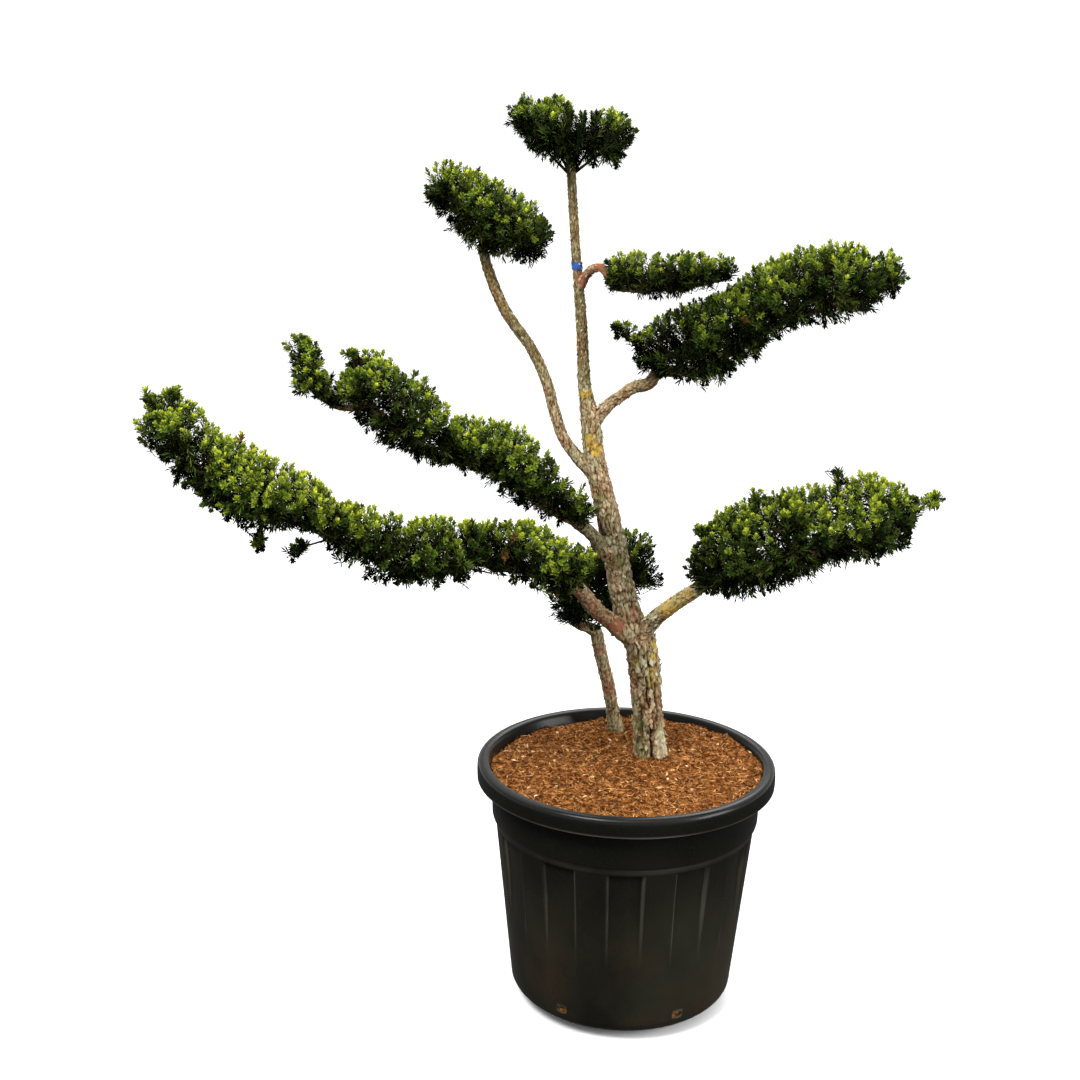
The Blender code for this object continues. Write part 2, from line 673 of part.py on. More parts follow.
def fit_spray(tip, normal, space, rng):
    """A spray whose tip is at a place, turned and shrunk until it keeps to the space, or None."""
    steps = np.linspace(0.0, 1.0, PROBES[0])
    for share in SPRAY_TRIES:
        wander = np.array([rng.gauss(0, SPRAY_WANDER) for _ in range(3)])
        axis = normal + np.array((0.0, 0.0, SPRAY_LIFT)) + wander
        axis = axis / np.linalg.norm(axis)
        radius = rng.uniform(*SPRAY_RADIUS) * share
        turn = rng.uniform(0.0, 2 * math.pi)
        root, rim, high = spray_points(tip, axis, rng.uniform(*SPRAY_LENGTH), radius, turn)
        spine = np.array(root) + steps[:, None] * (np.array(high) - np.array(root))
        swell = np.minimum(1.0, steps / (1.0 - TOOTH_BACK)) * radius
        if space.holds(np.array([root, *rim, high])) and space.misses_limbs(spine, swell):
            return root, rim, high
    return None


def fit_twig(root, tip, stem, space):
    """A twig from a stem into a spray, or None where it would leave the space or touch a limb."""
    nearest = int(np.linalg.norm(stem - root, axis=1).argmin())
    start = stem[max(0, nearest - round(TWIG_BACK / FINE_STEP))]
    end = root + (tip - root) * SPRAY_SUNK
    line = start + np.linspace(0.0, 1.0, PROBES[1])[:, None] * (end - start)
    if space.holds(line) and space.misses_limbs(line, np.full(len(line), TWIG_RADIUS)):
        return start, end
    return None


def add_sprays(body, spurs, stem, space, rng, collection):
    """Sprays of needles, each on its own twig, until the pad's surface is full."""
    tips = []
    misses = 0
    for tip, normal in spots(body, spurs, rng):
        misses += 1
        if misses > PLACES_TRIED:
            break
        if not is_wanted(tip, normal, tips, space, rng):
            continue
        spray = fit_spray(tip, normal, space, rng)
        twig = spray and fit_twig(np.array(spray[0]), np.array(spray[2]), stem, space)
        if twig:
            tips.append(tip)
            misses = 0
            add_spray(*spray, collection)
            add_twig(*twig, collection)


def make_pad(name, stems, lobes_of, finish):
    """One pad of foliage: stem, core, twigs and sprays, joined into one solid."""
    body = body_lobes(PADS[name])
    spurs = spur_lobes(PADS[name], body)
    others = [lobe for other, lobes in lobes_of.items() if other != name for lobe in lobes]
    neighbours = [lobe for lobe in others if outside(lobes_of[name], lobe.centre)[0] < NEIGHBOUR]
    limbs = [TRUNK, *LIMBS.values()] + [rows for other, rows in stems.items() if other != name]
    space = Space(lobes_of[name], neighbours, [bead for rows in limbs for bead in beads(rows)])
    shape = bmesh.new()
    tube(shape, smooth_path(stems[name], RING_STEP), STEM_SIDES)
    pad = add_object(name, shape, finish)
    pieces = bpy.data.collections.new(name + "_pieces")
    bpy.context.scene.collection.children.link(pieces)
    add_core(body, space, pieces)
    stem = np.array([bead[:3] for bead in beads(stems[name])])
    add_sprays(body, spurs, stem[round(STEM_START / FINE_STEP):], space, random.Random(name), pieces)
    join_pieces(pad, pieces)
    clean_up(pad)


def join_pieces(obj, pieces):
    """Union an object with a collection, apply it, and remove the collection's objects."""
    union = obj.modifiers.new("join", "BOOLEAN")
    union.operation = "UNION"
    union.operand_type = "COLLECTION"
    union.collection = pieces
    joined = bpy.data.meshes.new_from_object(obj.evaluated_get(bpy.context.evaluated_depsgraph_get()))
    obj.modifiers.clear()
    obj.data = joined
    for piece in list(pieces.objects):
        bpy.data.objects.remove(piece, do_unlink=True)
    bpy.data.collections.remove(pieces)


def islands_of(shape):
    """The vertices of each connected part, the largest part last."""
    unseen = set(shape.verts)
    islands = []
    while unseen:
        front = [unseen.pop()]
        island = list(front)
        while front:
            vert = front.pop()
            linked = [edge.other_vert(vert) for edge in vert.link_edges]
            fresh = [other for other in linked if other in unseen]
            unseen.difference_update(fresh)
            front += fresh
            island += fresh
        islands.append(island)
    return sorted(islands, key=len)


def clean_up(obj):
    """Drop loose scraps and the skins of sealed hollows, and join the faces of flat stretches."""
    shape = bmesh.new()
    shape.from_mesh(obj.data)
    for island in islands_of(shape)[:-1]:
        bmesh.ops.delete(shape, geom=island, context="VERTS")
    bmesh.ops.dissolve_limit(shape, angle_limit=FLAT_ANGLE, verts=shape.verts, edges=shape.edges)
    shape.to_mesh(obj.data)
    shape.free()


def cut_clear(obj, cutter):
    """Cut an object where it would meet the trunk, with the gap between them."""
    cut = obj.modifiers.new("clear_of_trunk", "BOOLEAN")
    cut.object = cutter
    cut.operation = "DIFFERENCE"


def smooth_shade(obj, angle):
    obj.data.shade_smooth()
    obj.data.set_sharp_from_angle(angle=math.radians(angle))


def main():
    clear_scene()
    plastic = material("pot_plastic", (0.035, 0.030, 0.027), 0.45)
    mix = material("potting_mix", (0.20, 0.09, 0.045), 0.95)
    bark = material("bark", (0.27, 0.19, 0.14), 0.9)
    needles = material("needles", (0.035, 0.085, 0.02), 0.6)
    tape = material("blue_tape", (0.02, 0.08, 0.35), 0.5)
    smooth_shade(make_pot(plastic), POT_SMOOTH)
    make_soil(mix)
    smooth_shade(limb("trunk", TRUNK, TRUNK_SIDES, bark), LIMB_SMOOTH)
    trunk_clear = limb("trunk_clear", TRUNK, TRUNK_SIDES, grow=GAP)
    hide_cutter(trunk_clear)
    for name, rows in LIMBS.items():
        bough = limb(name, rows, LIMB_SIDES, bark)
        smooth_shade(bough, LIMB_SMOOTH)
        if name in BRANCHED:
            cut_clear(bough, trunk_clear)
    make_tie(tape, trunk_clear)
    stems = {}
    for name in PADS:
        stems[name] = stem_rows(name, stems)
    lobes_of = {}
    for name, pad in PADS.items():
        body = body_lobes(pad)
        lobes_of[name] = body + [lobe for row in spur_lobes(pad, body) for lobe in row]
    for name in PADS:
        make_pad(name, stems, lobes_of, needles)


main()
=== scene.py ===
"""A cloud-pruned dwarf yew bonsai in its nursery pot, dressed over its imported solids.

The limbs get a relief of bark plates, each pad of foliage is grown again as twigs and shoots
of needles within the same lobes, and the pot and its potting mix are made finely.
"""
import math
from collections import namedtuple

import bmesh
import bpy
import numpy as np
from mathutils import Matrix, Vector, noise


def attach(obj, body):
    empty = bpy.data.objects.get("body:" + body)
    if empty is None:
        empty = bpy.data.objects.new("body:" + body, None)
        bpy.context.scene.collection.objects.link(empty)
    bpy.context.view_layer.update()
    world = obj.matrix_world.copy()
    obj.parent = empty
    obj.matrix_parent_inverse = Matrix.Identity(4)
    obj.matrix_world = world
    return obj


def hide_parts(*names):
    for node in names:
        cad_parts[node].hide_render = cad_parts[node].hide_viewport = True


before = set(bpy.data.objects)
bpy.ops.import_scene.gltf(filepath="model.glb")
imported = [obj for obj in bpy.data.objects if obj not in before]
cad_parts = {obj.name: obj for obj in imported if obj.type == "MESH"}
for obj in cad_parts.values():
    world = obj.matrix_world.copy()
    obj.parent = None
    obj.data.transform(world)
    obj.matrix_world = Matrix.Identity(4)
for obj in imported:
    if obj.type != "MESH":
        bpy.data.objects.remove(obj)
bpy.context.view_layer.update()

# Camera: 1600 pixels of focal length in a frame of 1080, tilted down and slightly rolled
FOCAL_PIXELS = 1600
FRAME_PIXELS = 1080
SENSOR = 36.0
CAMERA_PLACE = (-0.1672, -2.8024, 1.6266)
CAMERA_TILT = math.radians(14.65)
CAMERA_ROLL = 0.0145

# Light from the surroundings by height, from a little below the horizon to nearly overhead
SKY = [(0.0, 0.05), (0.02, 1.0), (0.19, 1.0), (0.28, 0.38), (0.50, 0.42), (0.75, 1.15), (1.0, 1.45)]
SKY_STRENGTH = 1.20

# Pot
FLUTES = 12
FLUTE_TURN = math.radians(-92)
RECESS_HALF = math.radians(7.7)       # to the middle of its sloping sides
RECESS_SIDE = math.radians(1.3)
RECESS_DEPTH = 0.008
RECESS_LOW = 0.14
RECESS_TOP = 0.349
SHOULDER = 0.3615
POT_WALL = 0.0045
CORNER_TALL = 0.042
CORNER_WIDE = 0.095
POT_FOOT_RADIUS = 0.2065
POT_TAPER = 0.104
COLLAR_LOW = (0.250, 0.370)
COLLAR_HIGH = (0.2515, 0.4355)
LIP = [(0.2788, 0.4430), (0.2790, 0.4560), (0.2782, 0.4662), (0.2748, 0.4716), (0.2680, 0.4736),
       (0.2610, 0.4728), (0.2575, 0.4705)]
COLLAR = [(0.2465, 0.3635), (0.2490, 0.3665), (0.2500, 0.3710), (0.2508, 0.4000), (0.2513, 0.4270),
          (0.2525, 0.4330), (0.2560, 0.4368), (0.2700, 0.4378), (0.2766, 0.4381), (0.2785, 0.4394)]
POT_SIDES = 600
WORN_AND_HIGHLIGHT_LEVELS = (0.3625, 0.4392)         # edges round the pot painted pale: wear and painted highlight lines
WORN_AND_HIGHLIGHT_WIDE = 0.0024
DRAIN_HOLES = 6
DRAIN_TURN = math.radians(-93)
DRAIN_HEIGHT = 0.050
DRAIN_WIDE = 0.011
DRAIN_TALL = 0.0075

# Potting mix
SOIL_LEVEL = 0.461
SOIL_SLUMP = 0.012
SOIL_CLEAR = 0.0005                   # from the pot's wall
SOIL_SIDES = 180
HOLLOW = (0.000, 0.133, 0.032, 0.022)        # by the second stem: x, y, radius and depth
FOOT_SUNK = 0.445                     # limbs reach down to this height in the potting mix
TIE_HEIGHT = 1.383

# Limbs: x, y, z and radius, from the root outwards
TRUNK = [
    (0.049, 0.058, FOOT_SUNK, 0.0325),
    (0.049, 0.058, SOIL_LEVEL, 0.0315),
    (0.047, 0.056, 0.481, 0.0296),
    (0.041, 0.050, 0.557, 0.0290),
    (0.027, 0.036, 0.668, 0.0300),
    (0.011, 0.031, 0.717, 0.0288),
    (-0.008, 0.026, 0.767, 0.0245),
    (-0.039, 0.015, 0.912, 0.0220),
    (-0.055, 0.015, 0.977, 0.0204),
    (-0.071, 0.020, 1.041, 0.0190),
    (-0.080, 0.020, 1.111, 0.0173),
    (-0.092, 0.025, 1.176, 0.0118),
    (-0.100, 0.032, 1.291, 0.0098),
    (-0.112, 0.035, 1.411, 0.0083),
    (-0.123, 0.035, 1.549, 0.0080),
]
LIMBS = {
    "bough_lower_left": [
        (0.001, 0.021, 0.707, 0.0200),
        (-0.046, -0.020, 0.755, 0.0148),
        (-0.071, -0.050, 0.786, 0.0140),
        (-0.095, -0.076, 0.823, 0.0132),
    ],
    "bough_lower_right": [
        (0.019, 0.029, 0.705, 0.0185),
        (0.049, 0.001, 0.751, 0.0156),
        (0.080, -0.019, 0.784, 0.0146),
        (0.111, -0.037, 0.812, 0.0140),
    ],
    "bough_middle_left": [
        (-0.014, 0.017, 0.802, 0.0145),
        (-0.029, 0.007, 0.845, 0.0140),
        (-0.046, 0.001, 0.870, 0.0134),
        (-0.060, -0.003, 0.890, 0.0128),
        (-0.077, -0.009, 0.911, 0.0120),
        (-0.101, -0.016, 0.931, 0.0112),
    ],
    "bough_upper_left": [
        (-0.069, 0.017, 1.013, 0.0150),
        (-0.099, 0.022, 1.041, 0.0124),
        (-0.127, 0.030, 1.076, 0.0106),
        (-0.145, 0.035, 1.125, 0.0104),
        (-0.161, 0.040, 1.180, 0.0101),
        (-0.188, 0.050, 1.235, 0.0098),
        (-0.231, 0.055, 1.294, 0.0100),
        (-0.258, 0.065, 1.349, 0.0100),
        (-0.275, 0.069, 1.404, 0.0092),
    ],
    "bough_upper_right": [
        (-0.078, 0.020, 1.106, 0.0150),
        (-0.055, 0.020, 1.133, 0.0120),
        (-0.035, 0.020, 1.150, 0.0110),
        (-0.005, 0.021, 1.171, 0.0111),
        (0.021, 0.013, 1.180, 0.0115),
    ],
    "bough_small_right": [
        (-0.103, 0.032, 1.344, 0.0080),
        (-0.095, 0.029, 1.365, 0.0080),
        (-0.082, 0.020, 1.379, 0.0078),
        (-0.064, 0.010, 1.380, 0.0075),
    ],
    "second_stem": [
        (-0.012, 0.190, FOOT_SUNK, 0.0168),
        (-0.012, 0.190, SOIL_LEVEL, 0.0158),
        (-0.018, 0.184, 0.497, 0.0134),
        (-0.025, 0.179, 0.538, 0.0130),
        (-0.036, 0.175, 0.584, 0.0131),
        (-0.048, 0.173, 0.631, 0.0129),
        (-0.058, 0.172, 0.667, 0.0126),
    ],
}

# Pads of foliage, as in the solids: the limb it grows on, the path through its middle, half its
# depth and height, the shares of those at its two ends, and the tufts that stand out of it
Pad = namedtuple("Pad", "limb path depth height ends spurs")
PADS = {
    "foliage_top": Pad(
        "trunk", [(-0.061, 0.035, 1.601), (-0.132, 0.035, 1.608), (-0.206, 0.035, 1.634)],
        0.120, 0.058, (0.85, 0.66), []),
    "foliage_upper_left": Pad(
        "bough_upper_left", [(-0.199, 0.070, 1.430), (-0.271, 0.070, 1.467), (-0.341, 0.069, 1.515)],
        0.110, 0.065, (0.80, 0.71), []),
    "foliage_small_right": Pad(
        "bough_small_right", [(-0.036, 0.001, 1.371), (0.052, -0.009, 1.377), (0.144, -0.009, 1.383)],
        0.075, 0.042, (0.86, 0.64), []),
    "foliage_upper_right_inner": Pad(
        "bough_upper_right", [(0.043, 0.001, 1.234), (0.108, -0.009, 1.257), (0.174, -0.014, 1.297)],
        0.120, 0.075, (0.66, 0.95), [(-0.038, -0.020, 1.286, 0.016), (-0.003, -0.019, 1.260, 0.020)]),
    "foliage_upper_right_outer": Pad(
        "foliage_upper_right_inner",
        [(0.226, -0.019, 1.331), (0.307, -0.028, 1.363), (0.415, -0.028, 1.382)],
        0.135, 0.071, (1.0, 0.62), []),
    "foliage_lower_right_inner": Pad(
        "bough_lower_right", [(0.137, -0.049, 0.864), (0.205, -0.059, 0.900), (0.278, -0.068, 0.930)],
        0.135, 0.081, (0.58, 1.0), [(0.116, -0.054, 0.929, 0.016), (0.209, -0.069, 0.995, 0.018)]),
    "foliage_lower_right_outer": Pad(
        "foliage_lower_right_inner",
        [(0.335, -0.078, 0.951), (0.407, -0.088, 0.966), (0.478, -0.098, 0.993)],
        0.130, 0.073, (1.0, 0.36), [(0.348, -0.078, 1.043, 0.018), (0.518, -0.097, 1.006, 0.018)]),
    "foliage_middle_left_inner": Pad(
        "bough_middle_left",
        [(-0.102, -0.035, 0.960), (-0.163, -0.040, 1.001), (-0.239, -0.045, 1.063),
         (-0.315, -0.051, 1.083)],
        0.085, 0.057, (0.62, 0.92), []),
    "foliage_middle_left_outer": Pad(
        "foliage_middle_left_inner",
        [(-0.365, -0.061, 1.101), (-0.416, -0.071, 1.147), (-0.465, -0.081, 1.186)],
        0.090, 0.070, (0.84, 0.86), [(-0.493, -0.081, 1.239, 0.018)]),
    "foliage_middle_left_tip": Pad(
        "foliage_middle_left_outer",
        [(-0.525, -0.091, 1.171), (-0.560, -0.101, 1.204), (-0.570, -0.101, 1.262)],
        0.045, 0.034, (0.90, 0.80), []),
    "foliage_lower_left_inner": Pad(
        "bough_lower_left", [(-0.117, -0.110, 0.874), (-0.197, -0.140, 0.913), (-0.269, -0.160, 0.926)],
        0.090, 0.055, (0.80, 0.84), []),
    "foliage_lower_left_mid": Pad(
        "foliage_lower_left_inner",
        [(-0.327, -0.191, 0.924), (-0.408, -0.221, 0.933), (-0.475, -0.248, 0.976)],
        0.090, 0.056, (1.0, 0.84), [(-0.567, -0.281, 0.946, 0.018)]),
    "foliage_lower_left_outer": Pad(
        "foliage_lower_left_mid",
        [(-0.548, -0.271, 1.016), (-0.632, -0.302, 1.054), (-0.705, -0.322, 1.110),
         (-0.753, -0.332, 1.162)],
        0.110, 0.064, (0.78, 0.72),
        [(-0.781, -0.332, 1.202, 0.018), (-0.743, -0.332, 1.206, 0.018), (-0.623, -0.302, 0.960, 0.018)]),
    "foliage_back": Pad(
        "second_stem", [(-0.098, 0.170, 0.722), (-0.050, 0.171, 0.770), (0.010, 0.173, 0.799)],
        0.085, 0.086, (0.62, 0.84), []),
}
SPUR_STEPS = (0.4, 0.6, 0.8, 1.0)
SPUR_SHARE = 0.85                     # of a spur's radius that its twigs take up
HANGING_STEPS = (0.85, 1.0)           # a spur that hangs has needles only near its end
LOBE_LENGTH = 0.85
LOBE_SPACING = 0.45
LOBE_FALL = 1.6
LINKS = (0.25, 0.50, 0.75)            # places of the lobes that join a pad to the pad before it
LINK_SHARE = 0.93
STEM_DROP = 0.62                      # the limb shows along the underside of its pads
STEM_END = 0.0035
STEM_TAPER = 0.4

# How much fresher and lighter the shoots of some pads are than those of the others: partly fresher growth, partly
# painted light and shade, as on the darker top pad and the pad at the back
PAD_FRESHNESS_AND_SHADE = {
    "foliage_top": -0.34, "foliage_upper_left": -0.16, "foliage_small_right": -0.06,
    "foliage_upper_right_inner": -0.30, "foliage_upper_right_outer": -0.06,
    "foliage_lower_right_inner": -0.16, "foliage_lower_right_outer": 0.08,
    "foliage_middle_left_outer": 0.06, "foliage_middle_left_tip": 0.20,
    "foliage_lower_left_outer": 0.40, "foliage_lower_left_inner": 0.05, "foliage_back": -0.55,
}

# Shoots on a spur that stands up are fresher by this much too
SPUR_FRESHNESS = 0.55

# Shoots of needles
SHOOT_SPACING = 0.0126
SHOOT_LENGTH = 0.040
SHOOT_LEAST = 0.014
SHOOT_LIFT = 0.65
SHOOT_WANDER = 0.36
TIP_RAGGED = (-0.019, -0.003)
TUFTS = ((24.0, 0.019), (10.0, 0.014))       # waves per metre and height of the tufts and of the clumps
CANDIDATES = 44000
BURIED = 0.003
HUB_SPACING = 0.050
GOLDEN = math.radians(137.5)

# Kinds of needles round a shoot: how many, their places behind its tip, their lean away from
# it, their length and width, and how far along they are widest
Needles = namedtuple("Needles", "count span lean length width widest")
HEART = Needles(10, (0.0, 0.004), (0.10, 0.70), (0.0062, 0.0088), (0.0029, 0.0037), 0.78)
RING = Needles(14, (0.003, 0.011), (0.60, 1.10), (0.0082, 0.0115), (0.0027, 0.0034), 0.74)
OLD = Needles(14, (0.010, SHOOT_LENGTH), (0.80, 1.20), (0.0115, 0.0160), (0.0024, 0.0031), 0.62)
LONG = Needles(24, (0.0, SHOOT_LENGTH), (0.40, 1.25), (0.0120, 0.0185), (0.0022, 0.0029), 0.58)
# Needles set inside the pads, all in the near-black tone: painted shade for the depths of the pads
INNER = Needles(14, (0.0, 0.030), (0.8, 1.4), (0.014, 0.020), (0.0028, 0.0036), 0.5)
INNER_SPACING = 0.020
INNER_DEPTH = 0.026
INNER_LEAST = 0.025                   # size of the lobes that are too small for inner needles

# Tones of the needles and their gloss, and the tones of the ring and of the old needles that go with
# each tone of a shoot's heart; the near-black tone is painted shade inside and under the pads
TONES = {
    "needles_deep": ((0.0012, 0.0022, 0.0008), 0.0),
    "needles_dark": ((0.0095, 0.0160, 0.0036), 0.02),
    "needles_olive": ((0.0520, 0.0600, 0.0130), 0.03),
    "needles_mid": ((0.0420, 0.0700, 0.0100), 0.05),
    "needles_fresh": ((0.1900, 0.2550, 0.0230), 0.07),
    "needles_tip": ((0.5400, 0.5700, 0.0580), 0.07),
    "needles_dry": ((0.1500, 0.0700, 0.0190), 0.04),
}
SHOOTS = {
    "needles_dry": ("needles_dry", "needles_dark"), "needles_tip": ("needles_fresh", "needles_mid"),
    "needles_fresh": ("needles_fresh", "needles_mid"), "needles_mid": ("needles_mid", "needles_dark"),
    "needles_dark": ("needles_dark", "needles_deep"),
}
FAN = [(-0.042, 0.040), (-0.024, 0.046), (-0.008, 0.050), (0.014, 0.050), (0.030, 0.044), (0.046, 0.036)]
FAN_RADIUS = 0.0034

# Lower down the shoots are loose and long: where on a pad they begin to be, and their tones, the near-black one
# painted shade
DRY_SHARE = 0.003
LOOSE_ZONES = (-0.75, -0.15, 0.55)
LOOSE_TONES = {"needles_deep": (0.00, 0.22), "needles_dark": (0.22, 0.60), "needles_olive": (0.60, 0.68),
               "needles_mid": (0.68, 1.01)}

# What grows on the bark: x, y, z, size and kind
GROWTHS = [
    (-0.072, 0.002, 1.063, 0.018, "yellow"), (-0.082, 0.003, 1.082, 0.012, "yellow"),
    (-0.089, 0.011, 1.158, 0.013, "yellow"), (0.068, -0.026, 0.772, 0.024, "yellow"),
    (0.081, -0.034, 0.790, 0.022, "yellow"), (0.022, 0.022, 0.755, 0.010, "yellow"),
    (0.048, 0.022, 0.690, 0.014, "yellow"), (0.047, 0.017, 0.672, 0.011, "yellow"),
    (0.051, 0.020, 0.618, 0.020, "olive"), (0.045, 0.015, 0.638, 0.016, "olive"),
    (0.010, 0.012, 0.662, 0.016, "olive"), (0.098, -0.048, 0.800, 0.024, "olive"),
    (0.017, 0.024, 0.577, 0.016, "moss"), (0.020, 0.030, 0.532, 0.024, "moss"),
    (0.026, 0.030, 0.487, 0.028, "moss"), (-0.024, -0.003, 0.858, 0.020, "moss"),
    (-0.060, -0.004, 0.972, 0.018, "moss"), (-0.026, -0.018, 0.740, 0.020, "bare"),
    (-0.052, -0.040, 0.767, 0.020, "peeled"), (-0.072, -0.064, 0.789, 0.020, "peeled"),
    (-0.094, -0.082, 0.813, 0.018, "peeled"), (0.009, 0.007, 0.756, 0.016, "peeled"),
    (-0.075, 0.012, 1.383, 0.030, "bare"), (-0.094, 0.022, 1.361, 0.024, "bare"),
    (-0.047, 0.161, 0.632, 0.022, "peeled"),
    (-0.032, 0.167, 0.545, 0.020, "peeled"),
]
# The limbs are greener and darker from this height up, by these shares
MOSS_FROM = 1.12
MOSS_ABOVE = 0.30
DIM_ABOVE = 0.30
COVERS = {"yellow": (1, 0.9), "olive": (1, 0.38), "moss": (2, 0.6), "bare": (3, 1.0), "peeled": (3, 0.5)}
# Furrows down the trunk: their direction round it in degrees, their lower and their upper end
FURROWS = [(-85, 0.440, 0.528, 0.0030), (-89, 0.560, 0.630, 0.0018), (-54, 0.535, 0.620, 0.0022),
           (-122, 0.500, 0.570, 0.0016), (-70, 0.600, 0.690, 0.0014), (-105, 0.640, 0.720, 0.0014)]
BARK_RELIEF = 0.0055                  # from the cracks to the plates on the trunk
FLAP = (-48, 0.480, 34, 0.046)        # a scale of bark that peels off the foot: direction, height, reach
FLAKES = {"trunk": 420, "second_stem": 90}    # loose scales on a limb; the others have this many:
FEW_FLAKES = 70


def material(name, roughness, specular=0.5):
    """A material with its shader and output, and the tools to wire up a pattern."""
    made = bpy.data.materials.new(name)
    made.use_nodes = True
    shader = made.node_tree.nodes["Principled BSDF"]
    shader.inputs["Roughness"].default_value = roughness
    shader.inputs["Specular IOR Level"].default_value = specular
    return made, made.node_tree, shader


def texture(tree, kind, scale, detail=4.0, stretch=(1, 1, 1)):
    """A texture node read in the object's own coordinates."""
    place = tree.nodes.new("ShaderNodeTexCoord")
    mapping = tree.nodes.new("ShaderNodeMapping")
    mapping.inputs["Scale"].default_value = stretch
    made = tree.nodes.new(kind)
    made.inputs["Scale"].default_value = scale
    if "Detail" in made.inputs:
        made.inputs["Detail"].default_value = detail
    tree.links.new(place.outputs["Object"], mapping.inputs["Vector"])
    tree.links.new(mapping.outputs["Vector"], made.inputs["Vector"])
    return made.outputs[0]


def ramp(tree, source, stops):
    """Colours or greys along a value, from (place, colour) pairs."""
    made = tree.nodes.new("ShaderNodeValToRGB")
    elements = made.color_ramp.elements
    while len(elements) < len(stops):
        elements.new(1.0)
    for element, (place, colour) in zip(elements, stops):
        element.position = place
        element.color = (*colour, 1.0) if isinstance(colour, tuple) else (colour, colour, colour, 1.0)
    tree.links.new(source, made.inputs["Fac"])
    return made.outputs["Color"]


def mix(tree, share, first, second, kind="MIX"):
    made = tree.nodes.new("ShaderNodeMix")
    made.data_type = "RGBA"
    made.blend_type = kind
    tree.links.new(share, made.inputs["Factor"])
    for socket, value in (("A", first), ("B", second)):
        target = [s for s in made.inputs if s.name == socket and s.type == "RGBA"][0]
        if isinstance(value, tuple):
            target.default_value = (*value, 1.0)
        else:
            tree.links.new(value, target)
    return [s for s in made.outputs if s.type == "RGBA"][0]


def bump(tree, shader, height, strength, distance):
    made = tree.nodes.new("ShaderNodeBump")
    made.inputs["Strength"].default_value = strength
    made.inputs["Distance"].default_value = distance
    tree.links.new(height, made.inputs["Height"])
    tree.links.new(made.outputs["Normal"], shader.inputs["Normal"])


def speckled(name, colour, roughness, specular, scale, spread):
    """A material whose tone wavers from place to place by the spread given."""
    made, tree, shader = material(name, roughness, specular)
    darker = tuple((1.0 - spread) * c for c in colour)
    lighter = tuple(min(1.0, (1.0 + spread) * c) for c in colour)
    waver = texture(tree, "ShaderNodeTexNoise", scale)
    tree.links.new(ramp(tree, waver, [(0.35, darker), (0.65, lighter)]), shader.inputs["Base Color"])
    return made


def bark_material():
    """Bark by its marks: red is the plate's tone, green mustard lichen, blue moss, alpha bare skin."""
    made, tree, shader = material("bark", 0.92, 0.15)
    marks = tree.nodes.new("ShaderNodeVertexColor")
    marks.layer_name = "marks"
    parts = tree.nodes.new("ShaderNodeSeparateColor")
    tree.links.new(marks.outputs["Color"], parts.inputs["Color"])
    cluster = texture(tree, "ShaderNodeTexNoise", 30.0, 5.0, (1.0, 1.0, 0.55))
    grain = texture(tree, "ShaderNodeTexNoise", 260.0, 5.0, (1.0, 1.0, 0.30))
    crust = texture(tree, "ShaderNodeTexNoise", 210.0, 4.0)
    rosy = [(0.04, (0.016, 0.006, 0.002)), (0.18, (0.135, 0.066, 0.026)), (0.42, (0.320, 0.205, 0.108)),
            (0.75, (0.430, 0.315, 0.190)), (1.00, (0.560, 0.450, 0.300))]
    grey = [(0.04, (0.016, 0.009, 0.003)), (0.18, (0.135, 0.096, 0.042)), (0.42, (0.300, 0.262, 0.142)),
            (0.75, (0.380, 0.355, 0.215)), (1.00, (0.510, 0.490, 0.330))]
    colour = mix(tree, ramp(tree, cluster, [(0.44, 0.0), (0.56, 1.0)]),
                 ramp(tree, parts.outputs["Red"], rosy), ramp(tree, parts.outputs["Red"], grey))
    colour = mix(tree, ramp(tree, grain, [(0.36, 0.55), (0.52, 0.0)]), colour, (0.110, 0.055, 0.022))
    colour = mix(tree, ramp(tree, crust, [(0.58, 0.0), (0.68, 0.60)]), colour, (0.500, 0.480, 0.320))
    broken = ramp(tree, crust, [(0.36, 0.15), (0.50, 1.0)])
    for channel, tone in (("Green", (0.470, 0.310, 0.025)), ("Blue", (0.085, 0.100, 0.020))):
        share = mix(tree, parts.outputs[channel], (0.0, 0.0, 0.0), broken)
        colour = mix(tree, share, colour, tone)
    colour = mix(tree, marks.outputs["Alpha"], colour, (0.280, 0.098, 0.052))
    tree.links.new(colour, shader.inputs["Base Color"])
    bump(tree, shader, grain, 0.6, 0.0008)
    return made


class Heap:
    """Corners and triangles gathered for one piece."""

    def __init__(self):
        self.points = []
        self.faces = []
        self.marks = []
        self.count = 0

    def add(self, points, faces, marks=None):
        points = np.asarray(points, float).reshape(-1, 3)
        self.points.append(points)
        self.faces.append(np.asarray(faces, int).reshape(-1, 3) + self.count)
        if marks is not None:
            self.marks.append(np.asarray(marks, float).reshape(-1, 4))
        self.count += len(points)

    def make(self, name, finish, smooth=False):
        points = np.concatenate(self.points)
        faces = np.concatenate(self.faces)
        mesh = bpy.data.meshes.new(name)
        mesh.vertices.add(len(points))
        mesh.vertices.foreach_set("co", points.ravel())
        mesh.loops.add(3 * len(faces))
        mesh.loops.foreach_set("vertex_index", faces.ravel())
        mesh.polygons.add(len(faces))
        mesh.polygons.foreach_set("loop_start", np.arange(0, 3 * len(faces), 3))
        mesh.polygons.foreach_set("loop_total", np.full(len(faces), 3))
        mesh.update(calc_edges=True)
        if self.marks:
            layer = mesh.color_attributes.new("marks", "FLOAT_COLOR", "POINT")
            layer.data.foreach_set("color", np.concatenate(self.marks).ravel())
        mesh.validate()
        if smooth:
            mesh.shade_smooth()
        mesh.materials.append(finish)
        obj = bpy.data.objects.new(name, mesh)
        bpy.context.scene.collection.objects.link(obj)
        return obj


